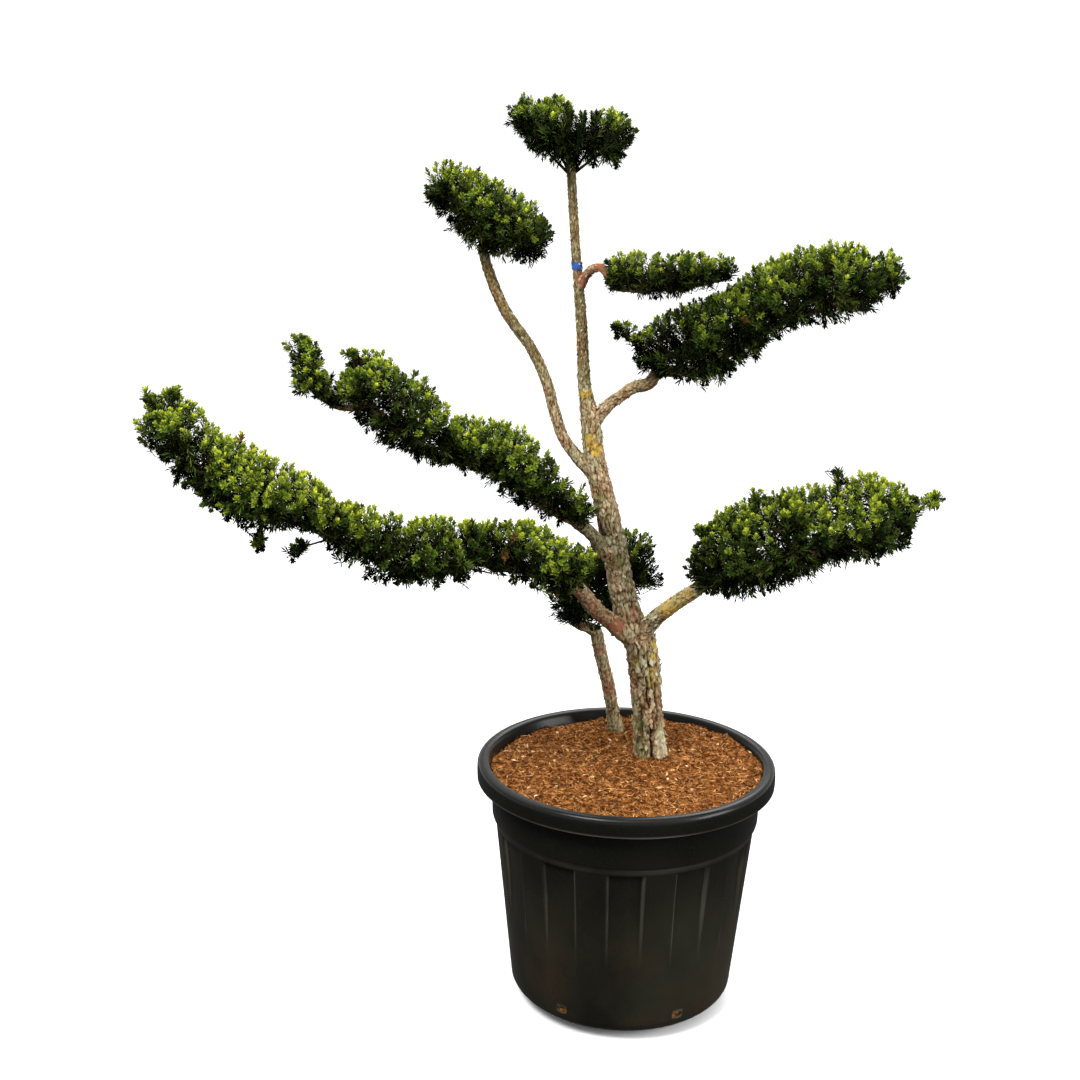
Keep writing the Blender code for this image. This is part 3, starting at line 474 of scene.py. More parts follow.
def dress(obj, slot, *nodes):
    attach(obj, "root")
    if nodes:
        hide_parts(*nodes)
    return obj


def unit(vectors):
    return vectors / np.maximum(np.linalg.norm(vectors, axis=-1, keepdims=True), 1e-9)


def clamp(value, low=0.0, high=1.0):
    return min(high, max(low, value))


def soft_step(value):
    value = clamp(value)
    return value * value * (3 - 2 * value)


def frames(axes):
    """Two directions square to each axis and to each other."""
    helper = np.where(np.abs(axes[:, 2:3]) < 0.9, [[0.0, 0.0, 1.0]], [[1.0, 0.0, 0.0]])
    side = unit(np.cross(axes, helper))
    return side, np.cross(axes, side)


def smooth_path(rows, step):
    """Points about one step apart on a Catmull-Rom curve through rows of numbers."""
    rows = [np.array(row, float) for row in rows]
    rows = [2 * rows[0] - rows[1]] + rows + [2 * rows[-1] - rows[-2]]
    path = [rows[1]]
    for a, b, c, d in zip(rows, rows[1:], rows[2:], rows[3:]):
        pieces = max(1, round(float(np.linalg.norm((c - b)[:3])) / step))
        for k in range(1, pieces + 1):
            t = k / pieces
            path.append(0.5 * (2 * b + (c - a) * t + (2 * a - 5 * b + 4 * c - d) * t ** 2
                               + (3 * b - a - 3 * c + d) * t ** 3))
    return np.array(path)


def ring_faces(rings, sides, first=0):
    """Triangles between rings of corners that follow one another."""
    faces = []
    for k in range(rings - 1):
        for j in range(sides):
            a, b = first + k * sides + j, first + k * sides + (j + 1) % sides
            faces += [(a, b, b + sides), (a, b + sides, a + sides)]
    return faces


class Lobe:
    """An ellipsoid, one of those that make up a pad's space, with fresher shoots or not."""

    def __init__(self, centre, axes, sizes, fresh=False):
        self.fresh = fresh
        self.centre = np.array(centre, float)
        self.axes = np.array(axes, float)
        self.sizes = np.array(sizes, float)

    def outside(self, points):
        local = (np.atleast_2d(points) - self.centre) @ self.axes.T
        return (np.linalg.norm(local / self.sizes, axis=1) - 1.0) * self.sizes.min()

    def surface(self, directions):
        points = self.centre + (directions * self.sizes) @ self.axes
        return points, unit((directions / self.sizes) @ self.axes)


def body_lobes(pad):
    path = smooth_path(pad.path, 0.005)
    length = np.linalg.norm(path[-1] - path[0])
    along = (path[-1] - path[0]) / length
    across = np.cross((0.0, 0.0, 1.0), along)
    across = across / np.linalg.norm(across)
    axes = (along, across, np.cross(along, across))
    count = 1 + math.ceil(length / (LOBE_SPACING * pad.height))
    lobes = []
    for t in np.linspace(0.0, 1.0, count):
        end = pad.ends[0] if t < 0.5 else pad.ends[1]
        share = 1.0 - (1.0 - end) * abs(2 * t - 1) ** LOBE_FALL
        sizes = np.array((LOBE_LENGTH * pad.height, pad.depth, pad.height)) * share
        lobes.append(Lobe(path[round(t * (len(path) - 1))], axes, sizes))
    return lobes


def spur_line(body, spur):
    """From the middle of the nearest lobe of a pad to the end of one of its spurs."""
    end = np.array(spur[:3])
    start = min(body, key=lambda lobe: np.linalg.norm(lobe.centre - end)).centre
    return start, end


def pad_lobes(pad):
    """The lobes of a pad's body, those that join it to the pad before it, and those of its spurs."""
    body = body_lobes(pad)
    lobes = list(body)
    if pad.limb in PADS:
        before = body_lobes(PADS[pad.limb])[-1]
        for t in LINKS:
            centre = before.centre + t * (body[0].centre - before.centre)
            sizes = before.sizes + t * (body[0].sizes - before.sizes)
            lobes.append(Lobe(centre, body[0].axes, LINK_SHARE * sizes))
    for spur in pad.spurs:
        start, end = spur_line(body, spur)
        stands = end[2] > start[2]
        radius = SPUR_SHARE * spur[3]
        lobes += [Lobe(start + t * (end - start), np.eye(3), (radius,) * 3, stands)
                  for t in (SPUR_STEPS if stands else HANGING_STEPS)]
    return lobes


def stem_rows(name, stems):
    """The path of a pad's stem, grown on from its limb or from the stem of the pad before it."""
    pad = PADS[name]
    rows = TRUNK if pad.limb == "trunk" else LIMBS.get(pad.limb)
    start = np.array(rows[-1] if rows is not None else stems[pad.limb][-1])
    shares = np.interp(np.linspace(0, 1, len(pad.path)), (0.0, 0.5, 1.0), (pad.ends[0], 1.0, pad.ends[1]))
    middles = [np.array(point) - (0.0, 0.0, STEM_DROP * pad.height * share)
               for point, share in zip(pad.path, shares)]
    nearest = min(range(len(middles)), key=lambda k: np.linalg.norm(middles[k] - start[:3]))
    points = [start[:3]] + middles[nearest:]
    end_radius = STEM_END
    for follower in PADS.values():
        if follower.limb == name:
            drop = STEM_DROP * (pad.height + follower.height) / 2
            points.append((np.array(pad.path[-1]) + np.array(follower.path[0])) / 2 - (0.0, 0.0, drop))
            end_radius = start[3] + STEM_TAPER * (STEM_END - start[3])
    radii = np.linspace(start[3], end_radius, len(points))
    return [(*point, radius) for point, radius in zip(points, radii)]


def scatter(points, spacing):
    """The places of those points that keep the spacing from every one before them."""
    cells = {}
    kept = []
    for index, (point, cell) in enumerate(zip(points, np.floor(points / spacing).astype(int))):
        cell = tuple(cell)
        near = [other for dx in (-1, 0, 1) for dy in (-1, 0, 1) for dz in (-1, 0, 1)
                for other in cells.get((cell[0] + dx, cell[1] + dy, cell[2] + dz), ())]
        if all(((point - other) ** 2).sum() > spacing ** 2 for other in near):
            cells.setdefault(cell, []).append(point)
            kept.append(index)
    return kept


def blades(base, along, up, length, width, widest=0.5):
    """Needles as folded blades of two faces, in rows of four corners."""
    across = unit(np.cross(along, up))
    middle = base + along * (widest * length)[:, None]
    fold = np.cross(across, along) * (0.18 * width)[:, None]
    left = middle + across * (width / 2)[:, None] + fold
    right = middle - across * (width / 2)[:, None] + fold
    tip = base + along * length[:, None]
    points = np.stack([base, left, tip, right], axis=1).reshape(-1, 3)
    start = 4 * np.arange(len(base))[:, None]
    faces = np.concatenate([start + [0, 1, 2], start + [0, 2, 3]])
    return points, faces


def whorl(tips, axes, reach, rng, kind):
    """Needles of one kind round the ends of shoots, whose lengths are the shares of reach."""
    count = kind.count
    shape = (len(tips), count)
    side, other = frames(axes)
    share = (np.arange(count) + rng.uniform(0, 1, shape)) / count
    turn = np.arange(count) * GOLDEN + rng.uniform(0, 2 * math.pi, (len(tips), 1))
    turn = turn + rng.normal(0, 0.15, shape)
    lean = kind.lean[0] + (kind.lean[1] - kind.lean[0]) * share + rng.normal(0, 0.10, shape)
    back = (kind.span[0] + (kind.span[1] - kind.span[0]) * share) * reach[:, None]
    outward = side[:, None] * np.cos(turn)[..., None] + other[:, None] * np.sin(turn)[..., None]
    along = axes[:, None] * np.cos(lean)[..., None] + outward * np.sin(lean)[..., None]
    base = tips[:, None] - axes[:, None] * back[..., None]
    long = rng.uniform(*kind.length, shape)
    wide = rng.uniform(*kind.width, shape)
    up = np.repeat(axes[:, None], count, axis=1)
    flat = (array.reshape(-1, 3) for array in (base, along, up))
    return blades(*flat, long.ravel(), wide.ravel(), kind.widest)


def tufted(points, scale):
    """A smooth wave over space, about -1 to 1."""
    return 2.0 * np.array([noise.noise(Vector(point) * scale) for point in points])


def shoot_places(lobes, every, rng):
    """Tips and outward directions of shoots all over the lobes, apart and outside, and their lobes."""
    weights = np.array([lobe.sizes[0] * lobe.sizes[1] for lobe in lobes])
    picks = rng.choice(len(lobes), CANDIDATES, p=weights / weights.sum())
    tips = np.empty((CANDIDATES, 3))
    normals = np.empty((CANDIDATES, 3))
    directions = unit(rng.normal(size=(CANDIDATES, 3)))
    for index, lobe in enumerate(lobes):
        chosen = picks == index
        tips[chosen], normals[chosen] = lobe.surface(directions[chosen])
    depth = np.min([lobe.outside(tips) for lobe in every], axis=0)
    outer = depth > -BURIED
    tips, normals = tips[outer], normals[outer]
    kept = scatter(tips, SHOOT_SPACING)
    return tips[kept], normals[kept], picks[outer][kept]


def add_stick(heap, start, end, radius, taper=0.6, sides=3):
    """A thin straight twig."""
    axis = unit((end - start)[None])[0]
    side, other = frames(axis[None])
    turns = 2 * math.pi * np.arange(sides) / sides
    ring = side * np.cos(turns)[:, None] + other * np.sin(turns)[:, None]
    points = np.concatenate([start + ring * radius, end + ring * radius * taper])
    heap.add(points, ring_faces(2, sides))


def place_shoots(lobes, every, rng):
    """Tips and axes of a pad's shoots, their normals, how much they stand out, and their lobes."""
    tips, normals, owners = shoot_places(lobes, every, rng)
    waves = [tufted(tips, scale) for scale, _ in TUFTS]
    raised = sum(height * wave for (_, height), wave in zip(TUFTS, waves))
    stand = (waves[0] + waves[1]) / 2
    keep = (stand > -0.28) | (rng.uniform(size=len(tips)) < 0.45)
    keep &= (normals[:, 2] > -0.45) | (rng.uniform(size=len(tips)) < 0.85)
    tips, normals, raised, stand, owners = (rows[keep] for rows in (tips, normals, raised, stand, owners))
    axes = normals + rng.normal(0, SHOOT_WANDER, normals.shape)
    axes[:, 2] += SHOOT_LIFT * np.clip(1.0 + normals[:, 2], 0.0, 1.0)
    ragged = rng.uniform(*TIP_RAGGED, len(tips)) + 0.5 * raised
    return tips + normals * ragged[:, None], unit(axes), normals, stand, owners


def shoot_lengths(tips, wood):
    """Lengths of shoots: shorter where the wood is near."""
    apart = np.array([np.linalg.norm(wood - tip, axis=1).min() for tip in tips])
    return np.clip(0.7 * apart, SHOOT_LEAST, SHOOT_LENGTH)


def add_branchlets(twigs, wood, tips, roots, axes):
    """Branchlets from the wood out to hubs, and a twig from the nearest hub to every shoot."""
    hubs = scatter(roots, HUB_SPACING)
    starts = np.array([wood[np.linalg.norm(wood - roots[hub], axis=1).argmin()] for hub in hubs])
    middles = starts + 0.72 * (roots[hubs] - starts)
    for start, hub in zip(starts, hubs):
        add_stick(twigs, start, roots[hub], 0.0022, 0.6, 4)
    for index, root in enumerate(roots):
        nearest = ((roots[hubs] - root) ** 2).sum(axis=1).argmin()
        add_stick(twigs, middles[nearest], root, 0.0010)
        add_stick(twigs, root, tips[index] - 0.006 * axes[index], 0.0009)


def pad_wood(name, stem, twigs):
    """Points of the wood that a pad's branchlets spring from: its stem, and a twig to each spur."""
    body = body_lobes(PADS[name])
    wood = [stem[:, :3]]
    for spur in PADS[name].spurs:
        start, end = spur_line(body, spur)
        start = stem[np.linalg.norm(stem[:, :3] - end, axis=1).argmin(), :3]
        wood.append(start + np.linspace(0.0, 0.95, 12)[:, None] * (end - start))
        add_stick(twigs, start, end, 0.0022, 0.5, 4)
    if name == "foliage_top":
        for across, rise in FAN:
            start = np.array(TRUNK[-1][:3]) - (0.0, 0.0, 0.012)
            end = start + (across, 0.4 * rise - 0.02, rise)
            wood.append(start + np.linspace(0.3, 1.0, 12)[:, None] * (end - start))
            add_stick(twigs, start, end, FAN_RADIUS, 0.6, 6)
    return np.concatenate(wood)


def grow_pad(name, lobes, every, stem, heaps, twigs):
    """Branchlets from the stem, twigs from those, and a shoot of needles at the end of each twig."""
    rng = np.random.default_rng(sum(ord(letter) * (k + 7) for k, letter in enumerate(name)))
    tips, axes, normals, stand, owners = place_shoots(lobes, every, rng)
    wood = pad_wood(name, stem, twigs)
    lengths = shoot_lengths(tips, wood)
    add_branchlets(twigs, wood, tips, tips - axes * lengths[:, None], axes)
    reach = lengths / SHOOT_LENGTH

    chance = rng.uniform(size=len(tips))
    # Painted light and shade in each shoot's tone: lighter where it faces up and where it stands out of its pad,
    # darker where it faces down and in hollows; the pad's share, partly freshness and partly painted shade, and a
    # standing spur's freshness add to it
    zone = normals[:, 2] + 0.70 * stand + rng.normal(0, 0.22, len(tips)) + PAD_FRESHNESS_AND_SHADE.get(name, 0.0)
    zone += np.array([SPUR_FRESHNESS if lobes[owner].fresh else 0.0 for owner in owners])
    kinds = np.select(
        [chance < DRY_SHARE, zone > 0.95, zone > 0.58, zone > 0.06],
        ["needles_dry", "needles_tip", "needles_fresh", "needles_mid"], "needles_dark")
    loose = rng.uniform(size=len(tips)) < np.interp(zone, LOOSE_ZONES, (0.75, 0.30, 0.0))
    for kind, (ring, old) in SHOOTS.items():
        chosen = (kinds == kind) & ~loose
        for needles, tone in ((HEART, kind), (RING, ring), (OLD, old)):
            heaps[tone].add(*whorl(tips[chosen], axes[chosen], reach[chosen], rng, needles))
    for kind, (low, high) in LOOSE_TONES.items():
        chosen = loose & (chance >= low) & (chance < high)
        heaps[kind].add(*whorl(tips[chosen], axes[chosen], reach[chosen], rng, LONG))
    # Near-black needles inside the pad: painted shade for its depths
    roomy = np.array([lobes[owner].sizes.min() > INNER_LEAST for owner in owners])
    inner, axes, reach = (tips - normals * (INNER_DEPTH * reach)[:, None])[roomy], axes[roomy], reach[roomy]
    spread = scatter(inner, INNER_SPACING)
    heaps["needles_deep"].add(*whorl(inner[spread], axes[spread], reach[spread], rng, INNER))


def furrow_at(turn, height, radius):
    """How deep a place of the trunk lies in a furrow, and how much of it is on the peeling scale."""
    angle = math.degrees(math.atan2(turn[1], turn[0])) + 6 * noise.noise(Vector((3.0, 5.0, 40 * height)))
    deepest = 0.0
    for middle, low, high, wide in FURROWS:
        if low < height < high:
            deepest = max(deepest, clamp(1.4 - math.radians(abs(angle - middle)) * radius / wide))
    off = math.hypot((angle - FLAP[0]) / FLAP[2], (height - FLAP[1]) / FLAP[3])
    return deepest, clamp(5.0 * (1.0 - off)) * (1.0 - deepest)


def plate_marks(point, turn, along, radius, is_trunk):
    """Relief and marks of the bark at a place: plates, cracks between them and what grows on them.

    turn is its direction from the limb's middle and along its way up the limb in plates.
    """
    around = radius / (0.0085 * bark_size(radius))
    place = Vector((around * turn[0], around * turn[1], along))
    warped = place + noise.noise_vector(place * 0.8) * 0.55
    distances, centres = noise.voronoi(warped)
    edge = clamp((distances[1] - distances[0]) / 0.24)
    lift = 0.5 + 0.5 * noise.cell(centres[0] * 3.7)
    shingle = clamp(0.5 - (warped.z - centres[0].z))
    rough = noise.fractal(place * 1.9, 1.0, 2.0, 3)
    coarse = noise.voronoi(Vector((0.42 * warped.x, 0.42 * warped.y, 0.16 * warped.z)))[0]
    fissure = clamp((coarse[1] - coarse[0]) / 0.11)
    height = edge ** 0.5 * (0.20 + 0.40 * lift + 0.50 * shingle) * (0.20 + 0.80 * fissure) + 0.25 * rough
    tone = edge ** 0.6 * (0.30 + 0.62 * lift) * (0.22 + 0.78 * fissure) + 0.22 * rough
    upper = clamp(8.0 * (point[2] - MOSS_FROM))
    tone *= 1.0 - DIM_ABOVE * upper
    cover = [0.0, 0.0, MOSS_ABOVE * upper, 0.0]
    for x, y, z, reach, kind in GROWTHS:
        near = 1.0 - math.dist(point, (x, y, z)) / reach
        if near > 0:
            channel, most = COVERS[kind]
            patch = 1.1 * near + 0.8 * noise.fractal(Vector(point) * 110, 1.0, 2.0, 3)
            cover[channel] = max(cover[channel], most * clamp(patch * 4 - 0.8))
    if is_trunk:
        furrow, flap = furrow_at(turn, point[2], radius)
        height += 1.1 * flap * (0.6 + 0.4 * edge) - 1.5 * furrow
        tone = max(tone, flap * (0.50 + 0.45 * edge)) * (1.0 - 0.95 * furrow)
    return height, (clamp(tone), *cover[1:])


def bark_size(radius):
    """Thin limbs have smaller plates: 1 on the trunk and less on those."""
    return clamp(radius / 0.027, 0.42, 1.0)


def add_limb(heap, rows, sides, step):
    """A limb with a relief of plates, as a tube with a closed far end."""
    path = smooth_path(rows, step)
    points = path[:, :3]
    side = np.array((1.0, 0.0, 0.0))
    travelled = 30.0 * rows[0][0]
    corners, marks = [], []
    turns = [(math.cos(2 * math.pi * j / sides), math.sin(2 * math.pi * j / sides)) for j in range(sides)]
    for k, centre in enumerate(points):
        along = unit((points[min(k + 1, len(points) - 1)] - points[max(k - 1, 0)])[None])[0]
        side = unit((side - along * side.dot(along))[None])[0]
        other = np.cross(along, side)
        radius = path[k, 3]
        size = bark_size(radius)
        travelled += step / (0.0175 * size)
        for turn in turns:
            outward = side * turn[0] + other * turn[1]
            height, mark = plate_marks(centre + outward * radius, turn, travelled, radius, rows is TRUNK)
            corners.append(centre + outward * (radius + BARK_RELIEF * size * (height - 0.62)))
            marks.append(mark)
    faces = ring_faces(len(points), sides)
    last = (len(points) - 1) * sides
    faces += [(last, last + j, last + j + 1) for j in range(1, sides - 1)]
    heap.add(corners, faces, marks)


def add_flakes(heap, rows, count, rng):
    """Loose scales of bark that stand off a limb, most of them free at their lower end."""
    path = smooth_path(rows, 0.004)
    place = rng.integers(4, len(path) - 2, count)
    along = unit(path[place + 1, :3] - path[place - 1, :3])
    side, other = frames(along)
    turn = rng.uniform(0, 2 * math.pi, count)[:, None]
    outward = side * np.cos(turn) + other * np.sin(turn)
    radius = path[place, 3][:, None]
    lean = rng.uniform(0.10, 0.55, count)[:, None]
    hanging = np.where(rng.uniform(size=count) < 0.7, -1.0, 1.0)[:, None]
    direction = hanging * along * np.cos(lean) + outward * np.sin(lean)
    length = 0.004 + rng.uniform(0.15, 0.42, count) * path[place, 3]
    base = path[place, :3] + outward * (radius + 0.0002)
    points, faces = blades(base, direction, -outward, length, rng.uniform(0.45, 0.75, count) * length)
    tone = np.repeat(rng.uniform(0.25, 0.95, count), 4)
    heap.add(points, faces, np.stack([tone, 0 * tone, 0 * tone, 0 * tone], axis=1))


def make_limbs(stems):
    bark = bark_material()
    rng = np.random.default_rng(12)
    trunk = Heap()
    add_limb(trunk, TRUNK, 96, 0.0024)
    add_flakes(trunk, TRUNK, FLAKES["trunk"], rng)
    dress(trunk.make("trunk_bark", bark, smooth=True), "bark", "trunk")
    for name, rows in LIMBS.items():
        heap = Heap()
        follower = [pad for pad in PADS if PADS[pad].limb == name]
        rows = list(rows)
        while follower:
            rows += stems[follower[0]][1:]
            follower = [pad for pad in PADS if PADS[pad].limb == follower[0]]
        add_limb(heap, rows, 36, 0.0030)
        add_flakes(heap, LIMBS[name], FLAKES.get(name, FEW_FLAKES), rng)
        dress(heap.make(name + "_bark", bark, smooth=True), "bark", name)
    top = Heap()
    add_limb(top, [TRUNK[-1]] + stems["foliage_top"][1:], 16, 0.006)
    dress(top.make("leader_bark", bark, smooth=True), "bark")


def make_foliage():
    stems = {}
    for name in PADS:
        stems[name] = stem_rows(name, stems)
    lobes_of = {name: pad_lobes(pad) for name, pad in PADS.items()}
    heaps = {name: Heap() for name in TONES}
    twigs = Heap()
    every = [lobe for lobes in lobes_of.values() for lobe in lobes]
    for name in PADS:
        stem = smooth_path(stems[name], 0.005)
        grow_pad(name, lobes_of[name], every, stem, heaps, twigs)
    for name, heap in heaps.items():
        tone, gloss = TONES[name]
        dress(heap.make(name, speckled(name, tone, 0.55, gloss, 55.0, 0.25)), "needles", *PADS)
    dress(twigs.make("twigs", speckled("twig_bark", (0.034, 0.024, 0.012), 0.85, 0.0, 90.0, 0.45)), "bark")
    make_limbs(stems)


def side_radius(height):
    return POT_FOOT_RADIUS + POT_TAPER * height


def flute(angle):
    """1 in the floor of a recess and 0 on the ribs between, with sloping sides."""
    pitch = 2 * math.pi / FLUTES
    off = abs((angle - FLUTE_TURN + pitch / 2) % pitch - pitch / 2)
    return soft_step((RECESS_HALF - off) / RECESS_SIDE + 0.5)


def corner_rows(inset, pieces=12):
    """The rounding from the flat base to the side, moved inwards by inset."""
    middle = side_radius(CORNER_TALL) - CORNER_WIDE
    wide, tall = CORNER_WIDE - inset, CORNER_TALL - inset
    turns = [math.pi / 2 * k / (pieces - 1) for k in range(pieces)]
    return [(middle + wide * math.sin(turn), CORNER_TALL - tall * math.cos(turn), 0.0) for turn in turns]


def side_rows(inset, heights):
    """The fluted side above the rounding, moved inwards by inset."""
    rows = []
    for height in heights:
        share = (height - RECESS_LOW) / (RECESS_TOP - RECESS_LOW)
        rows.append((side_radius(height) - inset, height, RECESS_DEPTH * soft_step(1.35 * share)))
    return rows


def pot_profile():
    """Radius, height and depth of the flutes, up the outer face, over the lip and down the inner one."""
    rows = [(0.0, 0.0, 0.0), (0.10, 0.0, 0.0)] + corner_rows(0.0)
    rows += side_rows(0.0, np.linspace(CORNER_TALL + 0.008, RECESS_TOP - 0.001, 26))
    rows += [(side_radius(RECESS_TOP), RECESS_TOP + 0.002, 0.0), (side_radius(SHOULDER), SHOULDER, 0.0)]
    rows += [(radius, height, 0.0) for radius, height in COLLAR]
    rows += [(radius, height, 0.0) for radius, height in smooth_path(LIP, 0.0016)]
    wall = COLLAR_HIGH[0] - POT_WALL
    rows += [(0.2552, 0.4640, 0.0), (wall + 0.002, COLLAR_HIGH[1] + 0.008, 0.0), (wall, COLLAR_HIGH[1], 0.0)]
    rows += [(COLLAR_LOW[0] - POT_WALL, COLLAR_LOW[1] + 0.002, 0.0)]
    rows += side_rows(POT_WALL, (RECESS_TOP - 0.002, 0.28, 0.22, 0.16, RECESS_LOW))
    rows += corner_rows(POT_WALL, 5)[::-1] + [(0.10, POT_WALL, 0.0), (0.0, POT_WALL, 0.0)]
    return rows


def lathe(profile, sides):
    """Corners, faces and pale marks of a turned shape whose first and last rows lie on the axis: wear and painted
    highlight lines on the flute sides and at the listed levels.
    """
    angles = [2 * math.pi * k / sides for k in range(sides)]
    flutes = [flute(angle) for angle in angles]
    corners = [(0.0, 0.0, profile[0][1])]
    wear_and_highlight = [0.0]
    for radius, height, depth in profile[1:-1]:
        # Pale marks at the listed levels and on the flute sides: wear and painted highlight lines
        level = max(clamp(1.0 - abs(height - worn_and_highlight) / WORN_AND_HIGHLIGHT_WIDE) for worn_and_highlight in WORN_AND_HIGHLIGHT_LEVELS)
        for angle, share in zip(angles, flutes):
            r = radius - depth * share
            corners.append((r * math.cos(angle), r * math.sin(angle), height))
            wear_and_highlight.append(max(level, 4.0 * share * (1.0 - share) * depth / RECESS_DEPTH))
    corners.append((0.0, 0.0, profile[-1][1]))
    wear_and_highlight.append(0.0)
    return corners, closed_faces(len(profile) - 2, sides), np.repeat(wear_and_highlight, 4)


def closed_faces(rings, sides):
    """Triangles from a first corner over rings to a last corner."""
    faces = ring_faces(rings, sides, 1)
    last = 1 + (rings - 1) * sides
    for j in range(sides):
        after = (j + 1) % sides
        faces += [(0, 1 + after, 1 + j), (last + sides, last + j, last + after)]
    return faces


def make_pot():
    made, tree, shader = material("pot_plastic", 0.36, 0.20)
    shader.inputs["Sheen Weight"].default_value = 0.02
    shader.inputs["Sheen Roughness"].default_value = 0.45
    shader.inputs["Sheen Tint"].default_value = (0.80, 0.78, 0.62, 1.0)
    place = tree.nodes.new("ShaderNodeTexCoord")
    parts = tree.nodes.new("ShaderNodeSeparateXYZ")
    tree.links.new(place.outputs["Object"], parts.inputs["Vector"])
    cloud = texture(tree, "ShaderNodeTexNoise", 6.0, 7.0, (1.0, 1.0, 0.6))
    grain = texture(tree, "ShaderNodeTexNoise", 380.0, 3.0)
    # Paler and browner towards the bottom, less on the collar and least on the lip, in soft clouds
    paler_lower = mix(tree, ramp(tree, cloud, [(0.35, 0.15), (0.70, 0.85)]), (0.0, 0.0, 0.0),
                ramp(tree, parts.outputs["Z"], [(0.02, 1.0), (0.20, 0.75), (0.37, 0.22), (0.43, 0.03)]))
    colour = mix(tree, paler_lower, (0.0036, 0.0037, 0.0030), (0.030, 0.028, 0.017))
    rusty = mix(tree, ramp(tree, texture(tree, "ShaderNodeTexNoise", 9.0, 6.0), [(0.50, 0.0), (0.68, 0.38)]),
                (0.0, 0.0, 0.0), ramp(tree, parts.outputs["Z"], [(0.05, 0.9), (0.20, 0.5), (0.32, 0.0)]))
    colour = mix(tree, rusty, colour, (0.046, 0.023, 0.012))
    colour = mix(tree, ramp(tree, grain, [(0.45, 0.0), (0.80, 0.25)]), colour, (0.026, 0.024, 0.017))
    marks = tree.nodes.new("ShaderNodeVertexColor")
    marks.layer_name = "marks"
    # Pale lines along the flute sides and the listed edges: wear and painted highlight
    worn_and_highlight = mix(tree, ramp(tree, cloud, [(0.35, 0.10), (0.65, 0.75)]), (0.0, 0.0, 0.0), marks.outputs["Color"])
    tree.links.new(mix(tree, worn_and_highlight, colour, (0.135, 0.125, 0.095)), shader.inputs["Base Color"])
    tree.links.new(ramp(tree, cloud, [(0.3, 0.20), (0.8, 0.38)]), shader.inputs["Roughness"])
    bump(tree, shader, grain, 0.15, 0.0004)
    heap = Heap()
    heap.add(*lathe(pot_profile(), POT_SIDES))
    pot = heap.make("pot_shell", made, smooth=True)
    shape = bmesh.new()
    for k in range(DRAIN_HOLES):
        turn = DRAIN_TURN + math.pi * (2 * k + 1) / DRAIN_HOLES
        place = Matrix.Rotation(turn, 4, "Z")
        place = place @ Matrix.Translation((side_radius(DRAIN_HEIGHT), 0.0, DRAIN_HEIGHT))
        place = place @ Matrix.Rotation(math.pi / 2, 4, "Y")
        place = place @ Matrix.Diagonal((DRAIN_TALL, DRAIN_WIDE, 1.0, 1.0))
        bmesh.ops.create_cone(shape, cap_ends=True, segments=20, radius1=1.0, radius2=1.0,
                              depth=6 * POT_WALL, matrix=place)
    mesh = bpy.data.meshes.new("drain_cutter")
    shape.to_mesh(mesh)
    shape.free()
    cutter = bpy.data.objects.new("drain_cutter", mesh)
    bpy.context.scene.collection.objects.link(cutter)
    cut = pot.modifiers.new("drain_holes", "BOOLEAN")
    cut.object = cutter
    cut.operation = "DIFFERENCE"
    drilled = bpy.data.meshes.new_from_object(pot.evaluated_get(bpy.context.evaluated_depsgraph_get()))
    pot.modifiers.clear()
    pot.data = drilled
    bpy.data.objects.remove(cutter, do_unlink=True)
    drilled.shade_smooth()
    drilled.set_sharp_from_angle(angle=math.radians(50))
    dress(pot, "pot_plastic", "pot")


def soil_height(x, y):
    """The lie of the potting mix: sunk at the back left, hollow near the second stem, and lumpy."""
    back_left = max(0.0, (y - x) * math.sqrt(0.5) / COLLAR_LOW[0])
    hollow = math.exp(-((x - HOLLOW[0]) ** 2 + (y - HOLLOW[1]) ** 2) / HOLLOW[2] ** 2)
    place = Vector((x, y, 0.3))
    lumps = 0.0050 * noise.fractal(place * 28, 1.0, 2.0, 4) + 0.0026 * noise.noise(place * 110)
    return SOIL_LEVEL - SOIL_SLUMP * back_left ** 3 - HOLLOW[3] * hollow + lumps


def wall_radius(height):
    """Radius of the inner face between the collar's head and the lip."""
    low, high = (COLLAR_HIGH[0] - POT_WALL, COLLAR_HIGH[1]), LIP[-1]
    return low[0] + (high[0] - low[0]) * (height - low[1]) / (high[1] - low[1])


def soil_bed():
    inset = POT_WALL + SOIL_CLEAR
    profile = corner_rows(inset, 5) + side_rows(inset, (RECESS_LOW, 0.20, 0.28, RECESS_TOP - 0.004))
    profile += [(COLLAR_LOW[0] - inset, COLLAR_LOW[1] + 0.004, 0.0), (COLLAR_HIGH[0] - inset, COLLAR_HIGH[1], 0.0)]
    angles = 2 * math.pi * np.arange(SOIL_SIDES) / SOIL_SIDES
    flutes = [flute(angle) for angle in angles]
    corners = [(0.0, 0.0, inset)]
    for radius, height, depth in profile:
        corners += [((radius - depth * share) * math.cos(a), (radius - depth * share) * math.sin(a), height)
                    for a, share in zip(angles, flutes)]
    shares = np.linspace(1.0, 0.02, 64)
    for share in shares:
        for a in angles:
            reach = (wall_radius(SOIL_LEVEL) - SOIL_CLEAR) * share
            height = soil_height(reach * math.cos(a), reach * math.sin(a))
            reach = (wall_radius(height) - SOIL_CLEAR) * share
            corners.append((reach * math.cos(a), reach * math.sin(a), height))
    corners.append((0.0, 0.0, soil_height(0.0, 0.0)))
    return corners, closed_faces(len(profile) + len(shares), SOIL_SIDES)


